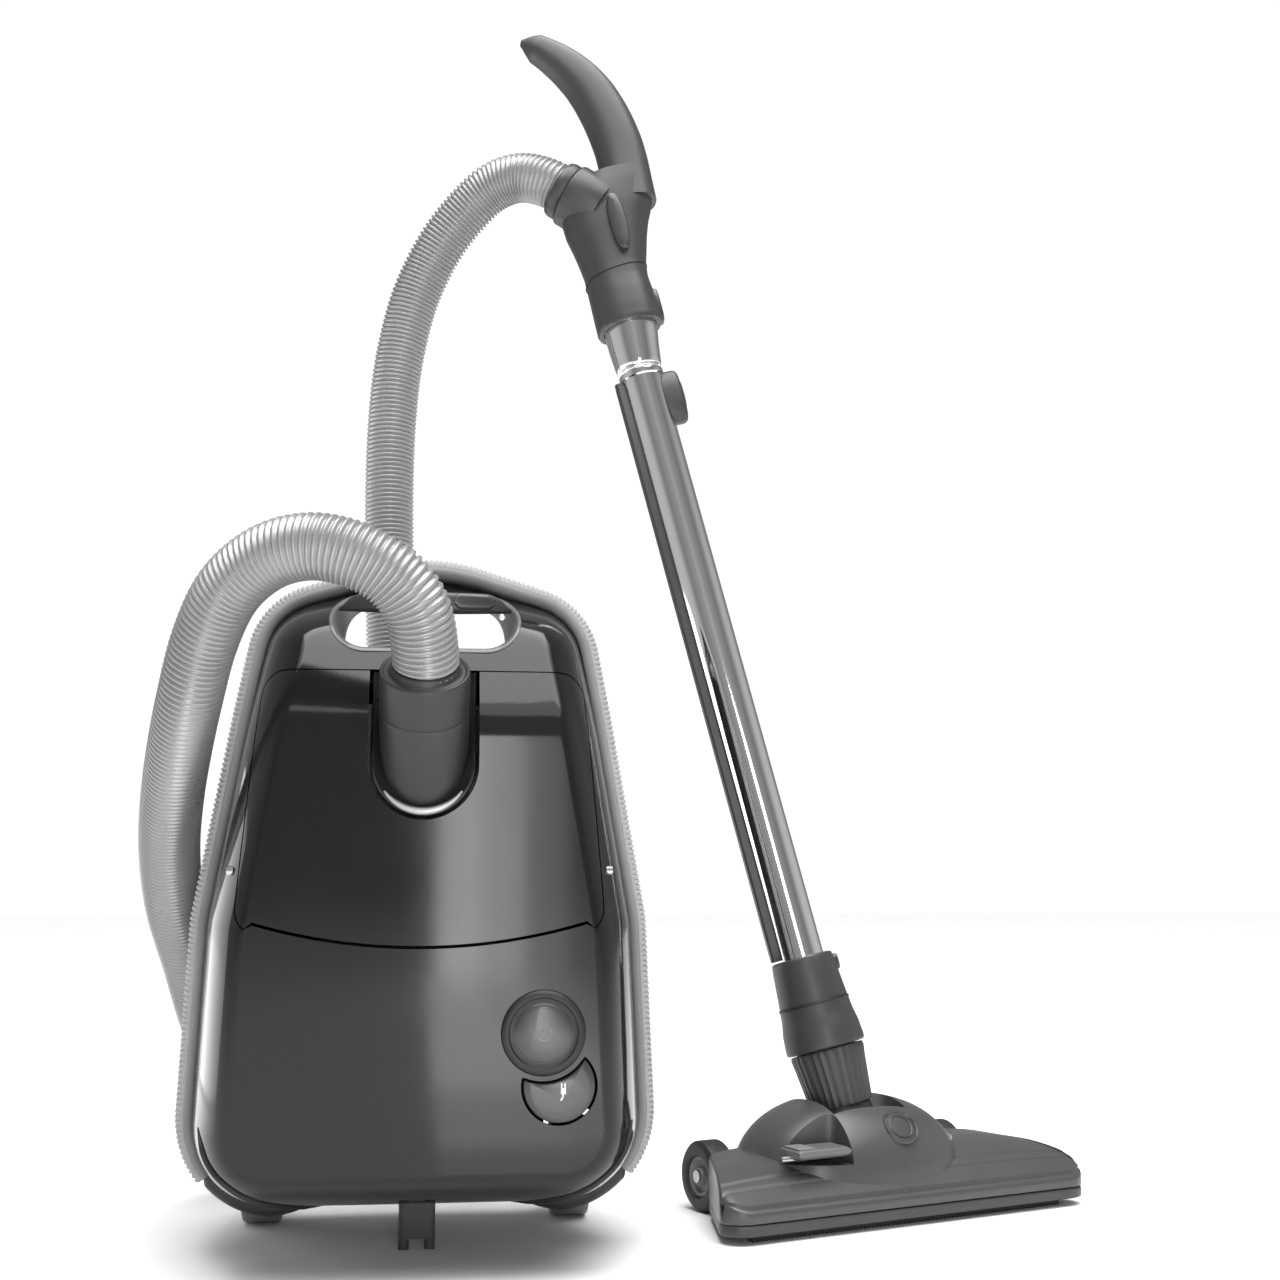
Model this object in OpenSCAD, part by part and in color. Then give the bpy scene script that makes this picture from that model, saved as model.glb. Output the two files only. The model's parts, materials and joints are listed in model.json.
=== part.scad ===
// Canister vacuum cleaner standing on its rear end, with hose, telescopic tube and floor head.
// X is across the canister, Y runs from its top cover to its underside, Z is up, and the
// floor is z = 0. The origin is the middle of the parking lug's floor face.

/* [Canister] */
// Width over the belt
canister_w = 284; // [280:1:288]
// Wall thickness of the shells
wall = 3; // [2.6:0.1:3.2]
// Depth of the belt around the shells
belt_depth = 56; // [50:1:60]
// Height of the lid's lower edge at the middle
lid_low = 183; // [182:1:184]
// Gap around the lid
lid_gap = 1.8; // [1.6:0.1:2]

/* [Wheels] */
// Radius of the two rear wheels
wheel_r = 32; // [31:0.5:32.5]
// Width of a rear wheel
wheel_w = 24; // [22:1:25]

/* [Hose] */
// Outer diameter of the hose
hose_d = 37; // [35:0.5:38]

/* [Wand] */
// Outer diameter of the outer tube
tube_d = 31; // [30:0.5:32]
// Lean of the tube to the left
lean_left = 13.7; // [13:0.1:14.5]
// Lean of the tube to the back
lean_back = 8; // [7:0.5:9]

/* [Floor head] */
// Width of the floor head
head_w = 284; // [270:1:286]
// Turn of the floor head about the vertical
head_yaw = 22; // [18:1:26]

/* [Hidden] */
$fn = 48;

// Canister
front_y = -110;
back_y = 112;
body_low = 20;
shell_low = 31;
outlet_pos = [40, 34];
belt_t = 11;
belt_low = 42;
foam_t = 6;
seam_y = 0;
hole_r = 19;
hole_x = 34;
hole_z = 371;
lid_top = 338;
lid_sweep_r = 330;
pin_y = -92;
pin_z = 225;
pin_r = 2.5;
notch_r = 31;
notch_z = 284;
run = 0.05;

// Hose connector and its slanted inlet
inlet_pos = [0, front_y, 305];
inlet_tilt = 36;
plug_r = 25;
plug_low = -44;
plug_top = 40;

// Buttons
knob_pos = [68, 136];
knob_r = 18;
ring_r = 23.5;
button_pos = [77, 107];
button_r = 20;
rod_pos = [78, 97];

// Wheels
wheel_x = 86;
wheel_y = 88;
castor_z = 308;
castor_y = 76;
castor_trail = 12;
castor_r = 17;
castor_out = 27;

// Motor and reel
motor_pos = [-52, 102];
motor_r = 50;
reel_pos = [62, 122];
reel_r = 46;

// Wand: u is the distance along the tube from the neck's pivot
wand_pos = [286, 75, 45];
tube_low = 100;
tube_top = 562;
tube_wall = 1.45;
inner_low = 150;
socket_low = 62;
socket_top = 124;
collar_low = 596;
hose_mouth = [-14, 712];
cuff_r = 20.5;

// Floor head, in its own frame
head_shift = 12;
head_front = -60;
head_wheel_r = 23;
head_wheel_x = 95;
head_wheel_y = 46;
neck_z = 34;
barrel_r = 21.4;
pedal_y = -36;
pedal_z = 44.5;
// Each brush strip: its front edge and half its length
BRUSHES = [[-50, 122], [-7, 102]];

// Middle line of the hose, from the connector over the left flank and round behind the
// canister to the handle
HOSE_ROUTE = [
    [0, -124, 324], [0, -138, 343], [-5, -152, 366], [-18, -158, 382], [-38, -159, 393],
    [-62, -154, 398], [-86, -144, 393], [-107, -130, 377], [-121, -112, 352],
    [-131, -90, 322], [-140, -60, 294], [-148, -25, 266], [-154, 15, 236], [-155, 55, 202],
    [-149, 96, 164], [-142, 135, 124], [-130, 170, 84], [-112, 200, 48], [-88, 221, 27],
    [-62, 233, 24], [-40, 238, 40], [-27, 240, 72], [-22, 240, 120], [-21, 239, 180],
    [-22, 237, 250], [-24, 235, 320], [-26, 234, 390], [-28, 233, 450], [-29, 232, 510],
    [-28, 230, 560], [-24, 227, 605], [-15, 222, 648], [-4, 217, 677], [10, 210, 702],
    [28, 202, 724], [46, 194, 739], [66, 185, 744], [88, 176, 737], [110, 173.5, 723.5]];
HOSE_SIDES = 12;

// Frames and helpers ---------------------------------------------------------------

// A drawing in X and Z given depth from y0 to y1
module along_y(y0, y1) translate([0, y1, 0]) rotate([90, 0, 0]) linear_extrude(y1 - y0) children();

// A drawing in Y and Z given width from x0 to x1
module along_x(x0, x1) translate([x0, 0, 0]) rotate([90, 0, 90]) linear_extrude(x1 - x0) children();

module rod_y(x, z, r, y0, y1) translate([x, y1, z]) rotate([90, 0, 0]) cylinder(h = y1 - y0, r = r);

module rod_x(y, z, r, x0, x1) translate([x0, y, z]) rotate([0, 90, 0]) cylinder(h = x1 - x0, r = r);

module ring(h, r, bore) difference() {
    cylinder(h = h, r = r);
    translate([0, 0, -1]) cylinder(h = h + 2, r = bore);
}

module wand_frame() translate(wand_pos) rotate([-lean_back, -lean_left, 0]) children();

module head_frame() translate([wand_pos[0], wand_pos[1], 0]) rotate([0, 0, head_yaw]) children();

module inlet_frame() translate(inlet_pos) rotate([inlet_tilt, 0, 0]) children();

// A drawing in the handle's plane given thickness about that plane
module handle_plate(thick) wand_frame()
    translate([0, thick / 2, 0]) rotate([90, 0, 0]) linear_extrude(thick) children();

// Canister outlines ------------------------------------------------------------------

module belt_outline(inset = 0) offset(delta = -inset) hull() {
    for (s = [-1, 1]) {
        translate([s * (canister_w / 2 - 62), 62 + body_low]) circle(r = 62);
        translate([s * (canister_w / 2 - 65), 190]) circle(r = 60);
        translate([s * 58, 350]) circle(r = 50);
    }
    translate([0, 298]) circle(r = 117);
}

module side_outline(inset = 0) offset(delta = -inset) hull() {
    translate([front_y + 42, body_low + 42]) circle(r = 42);
    translate([front_y + 70, 290]) circle(r = 70);
    translate([0, 304]) circle(r = 100);
    translate([back_y - 40, body_low + 40]) circle(r = 40);
    translate([back_y - 62, 318]) circle(r = 62);
}

module plan_outline(inset = 0) offset(delta = -inset) hull() for (s = [-1, 1]) {
    translate([s * 94, front_y + 30]) circle(r = 30);
    translate([s * 96, 0]) circle(r = 40);
    translate([s * 92, back_y - 32]) circle(r = 32);
}

// The outside of both shells, or their inside when inset by the wall
module body_solid(inset = 0) intersection() {
    along_y(-150, 150) belt_outline(belt_t + inset);
    along_x(-150, 150) side_outline(inset);
    translate([0, 0, 5]) linear_extrude(420) plan_outline(inset);
}

module body_walls(thick) difference() {
    body_solid();
    body_solid(thick);
}

module half(front) translate([-200, front ? -200 : seam_y, 0]) cube([400, 200, 440]);

module handle_hole(grow = 0) hull() for (s = [-1, 1])
    translate([s * hole_x, hole_z]) circle(r = hole_r + grow);

module notch_outline(grow = 0) hull() {
    translate([0, notch_z]) circle(r = notch_r + grow);
    translate([-notch_r - grow, notch_z]) square([2 * (notch_r + grow), lid_top - notch_z]);
}

module lid_outline(grow = 0) offset(delta = grow) intersection() {
    hull() for (s = [-1, 1]) {
        translate([s * 77, lid_top - 16]) circle(r = 16);
        translate([s * 90, lid_low + 12]) circle(r = 12);
    }
    translate([0, lid_low + lid_sweep_r]) circle(r = lid_sweep_r, $fn = 160);
}

module button_outline(grow = 0) offset(delta = grow) difference() {
    translate(button_pos) circle(r = button_r);
    translate(knob_pos) circle(r = ring_r + 4);
}

module wheel_well(s) rod_x(wheel_y, wheel_r, wheel_r + 3, s > 0 ? wheel_x - 3 : -wheel_x - wheel_w - 40,
    s > 0 ? wheel_x + wheel_w + 40 : 3 - wheel_x);

// Canister ---------------------------------------------------------------------------

module upper_shell() color("#3b3b3d") {
    difference() {
        intersection() {
            body_walls(wall);
            half(true);
        }
        along_y(-150, -60) lid_outline(0.1);
        along_y(-150, 5) handle_hole(wall);
        rod_y(knob_pos[0], knob_pos[1], ring_r + 0.1, -120, -90);
        along_y(-120, -90) button_outline(0.5);
    }
    // Ears that hold the ends of the lid's pin
    for (s = [-1, 1]) intersection() {
        difference() {
            translate([s > 0 ? 103.5 : -123.5, pin_y - 10, pin_z - 10]) cube([20, 20, 20]);
            rod_x(pin_y, pin_z, pin_r, -130, 130);
        }
        body_solid(wall - 0.01);
    }
}

module base_shell() color("#2c2c2e") {
    difference() {
        intersection() {
            body_walls(wall);
            half(false);
        }
        along_y(-5, 150) handle_hole(wall);
        for (s = [-1, 1]) wheel_well(s);
        rod_y(0, castor_z, 34, castor_y - 2, back_y + 5);
        translate([outlet_pos[0], outlet_pos[1], shell_low - 10]) cylinder(h = 20, r = 9.1);
        for (p = screw_places) rod_y(p[0], p[1], 4.1, back_y - 10, back_y + 5);
    }
    // Walls of the two wheel wells
    for (s = [-1, 1]) intersection() {
        body_solid();
        difference() {
            rod_x(wheel_y, wheel_r, wheel_r + 5.5, s > 0 ? wheel_x - 5.5 : -150, s > 0 ? 150 : 5.5 - wheel_x);
            wheel_well(s);
        }
    }
    // Cup that carries the castor
    difference() {
        intersection() {
            body_solid();
            rod_y(0, castor_z, 37, castor_y - 3, back_y + 5);
        }
        rod_y(0, castor_z, 34, castor_y, back_y + 5);
        rod_y(0, castor_z, 6 + run, castor_y - 5, back_y);
    }
}

// Lug that hangs on a wall hook or holds the parked wand, with a notch between two prongs
module parking_lug() color("#2c2c2e") {
    for (s = [-1, 1]) translate([s > 0 ? 4.5 : -11, -6, 0]) cube([6.5, 12, shell_low]);
    translate([-11, -6, 6]) cube([22, 12, shell_low - 6]);
}

screw_places = [for (s = [-1, 1], z = [110, 250]) [s * 62, z]];

module belt_ring(outer, inner) along_y(-belt_depth / 2, belt_depth / 2) intersection() {
    difference() {
        belt_outline(outer);
        belt_outline(inner);
    }
    translate([-200, belt_low]) square([400, 400]);
}

module exhaust_belt() color("#b9babc") belt_ring(0, belt_t - foam_t);

module belt_foam() color("#77787a") belt_ring(belt_t - foam_t, belt_t);

module corner_guards() color("#2a2a2c") along_y(-belt_depth / 2, belt_depth / 2) intersection() {
    difference() {
        belt_outline(1);
        belt_outline(belt_t);
        translate([-70, 0]) square([140, 80]);
    }
    translate([-200, 0]) square([400, belt_low]);
}

module handle_bezel() color("#8f9092") intersection() {
    body_solid();
    along_y(-120, 120) difference() {
        handle_hole(wall);
        handle_hole();
    }
}

module carry_handle() color("#5b5b5e") intersection() {
    body_solid();
    along_y(-100, -44) intersection() {
        handle_hole();
        translate([-60, 377]) square([120, 20]);
    }
}

module inlet_saddle() color("#46464a") difference() {
    union() {
        along_y(front_y - 5, -58) notch_outline(-lid_gap);
        translate([-34, -64, 236]) cube([68, 6, 96]);
    }
    inlet_frame() translate([0, 0, plug_low - 1]) cylinder(h = 140, r = plug_r + run);
    rod_y(0, 268, 16, -100, -50);
    along_y(front_y - 10, front_y + 1.8) indicator_outline(0.01);
}

module indicator_outline(grow = 0) offset(delta = grow) intersection() {
    translate([0, notch_z]) circle(r = notch_r - lid_gap - 2);
    translate([-20, notch_z - notch_r + 2]) square([40, 4.3]);
}

module bag_indicator() color("#c9cacc") along_y(front_y - 3, front_y + 1.8) indicator_outline();

module lid() color("#3b3b3d") {
    difference() {
        intersection() {
            body_walls(2.5);
            along_y(-150, -60) lid_outline(-lid_gap);
        }
        along_y(-150, -50) notch_outline(0.1);
    }
    // Arms that swing on the pin
    for (s = [-1, 1]) difference() {
        union() {
            translate([s * 84 - 2.5, front_y + 2, pin_z - 6]) cube([5, pin_y - front_y - 2, 12]);
            rod_x(pin_y, pin_z, 6, s * 84 - 2.5, s * 84 + 2.5);
        }
        rod_x(pin_y, pin_z, pin_r + run, -130, 130);
    }
}

module lid_pin() color("#9a9a9c") rod_x(pin_y, pin_z, pin_r, -108, 108);

// Latch slider behind the lid's upper edge
module lid_latch() color("#5b5b5e") {
    translate([48, -84, lid_top - 24]) cube([22, 5, 29]);
    translate([53, -79, lid_top - 20]) cube([12, 5, 10]);
}

module bulkhead() color("#555558") difference() {
    intersection() {
        body_solid(wall + 0.3);
        translate([-150, -150, 172]) cube([300, 300, 4]);
    }
    translate([0, 20, 160]) cylinder(h = 30, r = 38);
}

module dust_bag() color("#d8d4c8") along_y(-52.5, 66) translate([0, 256]) offset(r = 24)
    square([116, 84], center = true);

module bag_plate() color("#c8b898") difference() {
    translate([-46, -56, 222]) cube([92, 3, 92]);
    rod_y(0, 268, 16.5, -60, -50);
}

module motor_filter() color("#e0e0dc") translate([-60, -34, 176.3]) cube([120, 100, 8]);

module motor_housing() color("#4c4c50") difference() {
    rod_y(motor_pos[0], motor_pos[1], motor_r, -62, 42);
    rod_y(motor_pos[0], motor_pos[1], motor_r - 3, -59, 39);
    rod_y(motor_pos[0], motor_pos[1], 16, -70, -50);
    for (y = [-59.5, 34]) rod_y(motor_pos[0], motor_pos[1], 5 + run, y, y + 12);
}

module motor_stator() color("#8a5a3a") difference() {
    rod_y(motor_pos[0], motor_pos[1], motor_r - 3, -22, 26);
    rod_y(motor_pos[0], motor_pos[1], 27, -24, 28);
}

module motor_armature() color("#a0a0a4") {
    rod_y(motor_pos[0], motor_pos[1], 25, -18, 22);
    rod_y(motor_pos[0], motor_pos[1], 5, 22, 41);
    rod_y(motor_pos[0], motor_pos[1], 5, -48, -18);
}

module motor_fan() color("#c0c0c4") difference() {
    union() {
        rod_y(motor_pos[0], motor_pos[1], 43, -36, -33);
        rod_y(motor_pos[0], motor_pos[1], 10, -48, -36);
        for (a = [0:40:320]) translate([motor_pos[0], -36, motor_pos[1]]) rotate([90, a, 0])
            translate([9, -1, 0]) cube([32, 2, 12]);
    }
    rod_y(motor_pos[0], motor_pos[1], 5, -60, -20);
}

module motor_mount() color("#1f1f20") difference() {
    rod_y(motor_pos[0], motor_pos[1], motor_r + 4, -12, 10);
    rod_y(motor_pos[0], motor_pos[1], motor_r, -20, 20);
}

module cord_reel() color("#6a6a6c") difference() {
    union() {
        rod_y(reel_pos[0], reel_pos[1], reel_r, -6, -3);
        rod_y(reel_pos[0], reel_pos[1], reel_r, 35, 38);
        rod_y(reel_pos[0], reel_pos[1], 20, -3, 35);
    }
    rod_y(reel_pos[0], reel_pos[1], 6 + run, -20, 60);
}

module reel_axle() color("#9a9a9c") {
    rod_y(reel_pos[0], reel_pos[1], 6, -12, 44);
    rod_y(reel_pos[0], reel_pos[1], 14, 44, 48);
    rod_y(reel_pos[0], reel_pos[1], 14, -16, -12);
}

module cord_outlet() color("#202022") translate([outlet_pos[0], outlet_pos[1], shell_low - 2])
    ring(10, 9, 4);

module control_board() color("#3f6a4a") translate([34, -66, 112]) cube([68, 2, 50]);

module power_switch() color("#2a2a2c") translate([58, -72, 128]) cube([20, 6, 16]);

module knob_bezel() color("#161617") difference() {
    rod_y(knob_pos[0], knob_pos[1], ring_r, front_y - 0.5, -88);
    rod_y(knob_pos[0], knob_pos[1], knob_r + 1.5, -120, -95);
    rod_y(knob_pos[0], knob_pos[1], 7 + run, -120, -80);
}

module power_plunger() color("#8a8a8c") difference() {
    rod_y(knob_pos[0], knob_pos[1], 7, -98, -80);
    rod_y(knob_pos[0], knob_pos[1], 4 + run, -120, -70);
}

module power_knob() color("#59595c") {
    rod_y(knob_pos[0], knob_pos[1], 4, -100, -78);
    rod_y(knob_pos[0], knob_pos[1], knob_r, -107, -99);
    translate([knob_pos[0], -107, knob_pos[1]]) rotate([90, 0, 0]) cylinder(h = 2.5, r1 = knob_r, r2 = knob_r - 5);
}

module rewind_button() color("#4a4a4d") {
    along_y(front_y - 1, -100) button_outline();
    rod_y(rod_pos[0], rod_pos[1], 5, -100, -94);
    rod_y(rod_pos[0], rod_pos[1], 3, -94, -24);
}

module rear_wheel(s) difference() {
    rod_x(wheel_y, wheel_r, wheel_r, s > 0 ? wheel_x : -wheel_x - wheel_w, s > 0 ? wheel_x + wheel_w : -wheel_x);
    rod_x(wheel_y, wheel_r, 5 + run, -150, 150);
    rod_x(wheel_y, wheel_r, wheel_r - 7, s > 0 ? wheel_x + wheel_w - 6 : -wheel_x - wheel_w - 1,
        s > 0 ? wheel_x + wheel_w + 1 : -wheel_x - wheel_w + 6);
}

module rear_wheel_left() color("#8b8c8e") rear_wheel(-1);

module rear_wheel_right() color("#8b8c8e") rear_wheel(1);

module wheel_axles() color("#9a9a9c") for (s = [-1, 1])
    rod_x(wheel_y, wheel_r, 5, s > 0 ? wheel_x - 3 : -wheel_x - 22, s > 0 ? wheel_x + 22 : 3 - wheel_x);

module castor_fork() color("#3a3a3c") {
    rod_y(0, castor_z, 6, castor_y - 4, castor_y + 1);
    rod_y(0, castor_z, 30, castor_y + 1, castor_y + 6);
    for (s = [-1, 1]) difference() {
        translate([s > 0 ? 9 : -13, castor_y + 6, castor_z - castor_trail - 9]) cube([4, 31, 18]);
        rod_x(castor_y + castor_out, castor_z - castor_trail, 3, -20, 20);
    }
}

module castor_wheel() color("#8b8c8e") difference() {
    rod_x(castor_y + castor_out, castor_z - castor_trail, castor_r, -8, 8);
    rod_x(castor_y + castor_out, castor_z - castor_trail, 3 + run, -20, 20);
}

module castor_axle() color("#9a9a9c") rod_x(castor_y + castor_out, castor_z - castor_trail, 3, -13, 13);

module shell_screws() color("#9a9a9c") for (p = screw_places) {
    rod_y(p[0], p[1], 4, back_y - 3, back_y - 0.4);
    rod_y(p[0], p[1], 2, back_y - 16, back_y - 3);
}

// Hose -------------------------------------------------------------------------------

module hose_connector() color("#3e3e41") inlet_frame() difference() {
    translate([0, 0, plug_low]) cylinder(h = plug_top - plug_low, r = plug_r);
    translate([0, 0, plug_low - 1]) cylinder(h = plug_top - plug_low + 2, r = 16);
    translate([0, 0, 23]) cylinder(h = 20, r = plug_r - 3);
}

function unit(v) = v / norm(v);

// Direction of the hose at a route point
function heading(i) = unit(HOSE_ROUTE[min(i + 1, len(HOSE_ROUTE) - 1)] - HOSE_ROUTE[max(i - 1, 0)]);

// Side direction carried from ring to ring without twist
function carried(i) = i == 0 ? [1, 0, 0] : let (s = carried(i - 1)) unit(s - (s * heading(i)) * heading(i));

module hose() color("#8e8f91") {
    n = len(HOSE_ROUTE);
    rings = [for (i = [0:n - 1]) let (a = carried(i), b = cross(heading(i), a)) for (k = [0:HOSE_SIDES - 1])
        HOSE_ROUTE[i] + hose_d / 2 * (cos(360 * k / HOSE_SIDES) * a + sin(360 * k / HOSE_SIDES) * b)];
    sides = [for (i = [0:n - 2], k = [0:HOSE_SIDES - 1]) let (j = (k + 1) % HOSE_SIDES)
        [i * HOSE_SIDES + k, (i + 1) * HOSE_SIDES + k, (i + 1) * HOSE_SIDES + j, i * HOSE_SIDES + j]];
    polyhedron(rings, concat(sides, [[for (k = [0:HOSE_SIDES - 1]) k]],
        [[for (k = [HOSE_SIDES - 1:-1:0]) (n - 1) * HOSE_SIDES + k]]));
}

// Wand -------------------------------------------------------------------------------

// Frame at the hose's mouth in the handle, with its Z axis out of the mouth
module mouth_frame() wand_frame() translate([hose_mouth[0], 0, hose_mouth[1]]) rotate([0, -44, 0]) children();

module hose_cuff() color("#3a3a3c") mouth_frame() translate([0, 0, -26]) difference() {
    cylinder(h = 30, r = cuff_r);
    translate([0, 0, -1]) cylinder(h = 22, r = 16);
    translate([0, 0, 19]) cylinder(h = 12, r = hose_d / 2 + 0.8);
}

// The curved grip, as discs along its bend: middle across, middle along, radius
GRIP = [[29, 716, 19], [30, 745, 19], [27, 772, 18.5], [21, 798, 17], [10, 822, 14], [-6, 841, 10], [-20, 850, 6]];

module handle_grip() color("#434346") handle_plate(30) difference() {
    for (i = [0:len(GRIP) - 2]) hull() for (g = [GRIP[i], GRIP[i + 1]])
        translate([g[0], g[1]]) circle(r = g[2], $fn = 32);
    square([100, 2 * 712], center = true);
    translate(hose_mouth) rotate(44) square([2 * cuff_r + 1, 80], center = true);
}

module handle_body() color("#434346") difference() {
    union() {
        handle_plate(42) polygon([[-21, 636], [-25, 676], [-28, 694], [-2, 711.9], [12, 711.9], [47.5, 711.9],
            [44, 701], [37, 681], [29, 662], [24, 636]]);
        wand_frame() translate([1.5, 0, collar_low + 16]) cylinder(h = 26, r = 23);
    }
    wand_frame() translate([0, 0, collar_low]) cylinder(h = 80, r = 17);
    wand_frame() translate([1.5, 0, collar_low]) cylinder(h = 34, r = 20 + run);
    mouth_frame() translate([0, 0, -44]) cylinder(h = 54, r = 16);
    mouth_frame() translate([0, 0, -26 - run]) cylinder(h = 40, r = cuff_r + run);
    wand_frame() translate([16, -9, collar_low]) cube([20, 18, 34]);
    wand_frame() translate([7, -24, 676]) cube([6, 16, 9]);
}

// Slider over the suction relief vent in the front of the handle
module air_slider() color("#505053") wand_frame() translate([3, -25, 654]) cube([14, 3.7, 34]);

module release_tab() color("#39393b") wand_frame() translate([21.8, -8.7, collar_low + 1]) cube([6.5, 17.4, 28]);

// Chrome inner tube with the bell that plugs into the handle
module inner_tube() color("#c9cacc") wand_frame() difference() {
    union() {
        translate([0, 0, inner_low]) cylinder(h = collar_low - inner_low, r = tube_d / 2 - tube_wall - run);
        translate([0, 0, tube_top + 2]) cylinder(h = 34, r1 = 17, r2 = 20);
        translate([1.5, 0, collar_low - 1]) cylinder(h = 34, r = 20);
    }
    translate([0, 0, inner_low - 1]) cylinder(h = 600, r = 12.8);
}

module outer_tube() color("#c9cacc") wand_frame() difference() {
    translate([0, 0, tube_low]) cylinder(h = tube_top - tube_low, r = tube_d / 2);
    translate([0, 0, tube_low - 1]) cylinder(h = tube_top - tube_low + 2, r = tube_d / 2 - tube_wall);
}

module tube_rail() color("#4a4a4c") wand_frame() difference() {
    translate([-tube_d / 2 - 6, -5, socket_top + 1]) cube([12, 10, tube_top - socket_top - 6]);
    translate([0, 0, tube_low]) cylinder(h = tube_top, r = tube_d / 2);
}

module slide_lock() color("#3a3a3c") wand_frame() difference() {
    hull() for (z = [528, 548]) translate([2, 0, z]) rotate([0, 90, 0]) cylinder(h = 24, r = 11.5, $fn = 32);
    translate([0, 0, 500]) cylinder(h = 100, r = tube_d / 2 + run);
}

// Collar that takes the tube's lower end and the neck's spigot
module tube_socket() color("#3a3a3c") wand_frame() difference() {
    union() {
        translate([0, 0, socket_low + 30]) cylinder(h = socket_top - socket_low - 30, r1 = 24, r2 = 21);
        translate([0, 0, socket_low]) cylinder(h = 30, r1 = 27, r2 = 24);
    }
    translate([0, 0, tube_low]) cylinder(h = 60, r = tube_d / 2);
    translate([0, 0, socket_low - 1]) cylinder(h = 60, r = 13);
    translate([0, 0, socket_low - 1]) cylinder(h = 27, r = 19 + run);
    translate([14, -5.2, 108]) cube([12, 10.4, 14]);
}

module socket_latch() color("#29292b") wand_frame() difference() {
    translate([16.2, -5, 110.5]) cube([8, 10, 11.2]);
    translate([0, 0, 90]) cylinder(h = 60, r = tube_d / 2 + 0.3);
}

// Neck that turns in the socket and tilts in the floor head
module neck() color("#323234") difference() {
    union() {
        wand_frame() translate([0, 0, 24]) cylinder(h = 62, r = 19);
        wand_frame() translate([0, 0, 24]) cylinder(h = socket_low - 24.3, r1 = 21, r2 = 25);
        head_cross(50, barrel_r);
        head_frame() translate([0, 0, neck_z]) cylinder(h = 36, r = 21);
    }
    wand_frame() translate([0, 0, 16]) cylinder(h = 80, r = 15);
    head_frame() translate([0, 0, neck_z]) rotate([120, 0, 0]) cylinder(h = 30, r = 13);
    head_cross(60, 5 + run);
}

module neck_pin() color("#9a9a9c") head_cross(64, 5);

// A rod across the floor head on the neck's tilt axis
module head_cross(length, r) head_frame() translate([0, 0, neck_z]) rotate([0, 90, 0])
    cylinder(h = length, r = r, center = true);

// Floor head -------------------------------------------------------------------------

module wing_outline(inset = 0) translate([head_shift, 0]) offset(delta = -inset) hull() {
    for (s = [-1, 1]) {
        translate([s * (head_w / 2 - 8), head_front + 8]) circle(r = 8);
        translate([s * (head_w / 2 - 40), 22]) circle(r = 6);
    }
}

module wing_side(inset = 0) offset(delta = -inset)
    polygon([[-62, 10], [-62, 24], [-46, 36], [24, 48], [34, 46], [34, 10]]);

module hump_side(inset = 0) offset(delta = -inset) hull() {
    translate([-2, 36]) circle(r = 42);
    translate([40, 30]) circle(r = 22);
    translate([-50, 12]) square([100, 2]);
}

module hump_front(inset = 0) offset(delta = -inset) hull() {
    translate([0, 34]) oval(78, 44);
    translate([-80, 12]) square([160, 2]);
}

module oval(a, b) polygon([for (t = [0:10:350]) [a * cos(t), b * sin(t)]]);

// The outside of the cover: flat wings and the hump over the neck
module head_body(inset = 0) {
    intersection() {
        translate([0, 0, 12]) linear_extrude(60) wing_outline(inset);
        along_x(-200, 200) wing_side(inset);
    }
    intersection() {
        along_x(-90, 90) hump_side(inset);
        along_y(-100, 100) hump_front(inset);
        translate([-90, -58, 12 + inset]) cube([180, 118, 100]);
    }
}

module head_cover() color("#434346") head_frame() difference() {
    union() {
        difference() {
            head_body();
            translate([0, 0, -2.5]) head_body(2.5);
        }
        intersection() {
            head_body();
            union() {
                pedal_seat(2.5);
                // Bracket of the left wheel's axle
                translate([-68, 38, 14]) cube([5, 16, 60]);
            }
        }
        // Ears for the pedal's pivot
        for (x = [-79, -32]) translate([x, -40, 35]) cube([3, 8, 14]);
    }
    difference() {
        pedal_seat();
        for (x = [-79, -32]) translate([x, -40, 35]) cube([3, 8, 14]);
    }
    rod_x(pedal_y, pedal_z, 2 + run, -90, -20);
    // Opening for the neck to tilt through
    translate([-33, -25, 30]) cube([59.5, 95, 80]);
    wheel_gaps();
    head_axle_rods();
}

module wheel_gaps() for (s = [-1, 1]) rod_x(head_wheel_y, head_wheel_r, head_wheel_r + 2.5,
    s * head_wheel_x + head_shift - 12, s * head_wheel_x + head_shift + 12);

// Pocket in the cover that the pedal lies in
module pedal_seat(grow = 0) translate([-76 - grow, -50 - grow, 38 - grow])
    cube([44 + 2 * grow, 28 + 2 * grow, 60]);

module sole_plate() color("#6a6a6c") head_frame() {
    difference() {
        translate([0, 0, 5]) linear_extrude(7) wing_outline(1);
        // Suction mouth and the slots of the brush strips
        translate([head_shift - 112, -34, 0]) cube([224, 18, 20]);
        brush_slots();
        wheel_gaps();
    }
    // Posts that hold the ends of the neck's pin
    for (s = [-1, 1]) difference() {
        translate([s > 0 ? 26 : -32, -8, 11]) cube([6, 16, 31]);
        rod_x(0, neck_z, 5, -40, 40);
        brush_slots();
    }
}

module brush_slots() for (b = BRUSHES)
    translate([head_shift - b[1] - 0.5, b[0] - 0.5, 0]) cube([2 * b[1] + 1, 6, 12.3]);

module brush_strips() color("#1d1d1e") head_frame() for (b = BRUSHES)
    translate([head_shift - b[1], b[0], 0]) cube([2 * b[1], 5, 7.6]);

module pedal() color("#6e6e71") head_frame() {
    translate([-74, -48, 44]) cube([40, 24, 7]);
    rod_x(pedal_y, pedal_z, 3.5, -74, -34);
    rod_x(pedal_y, pedal_z, 2, -79, -29);
}

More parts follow.
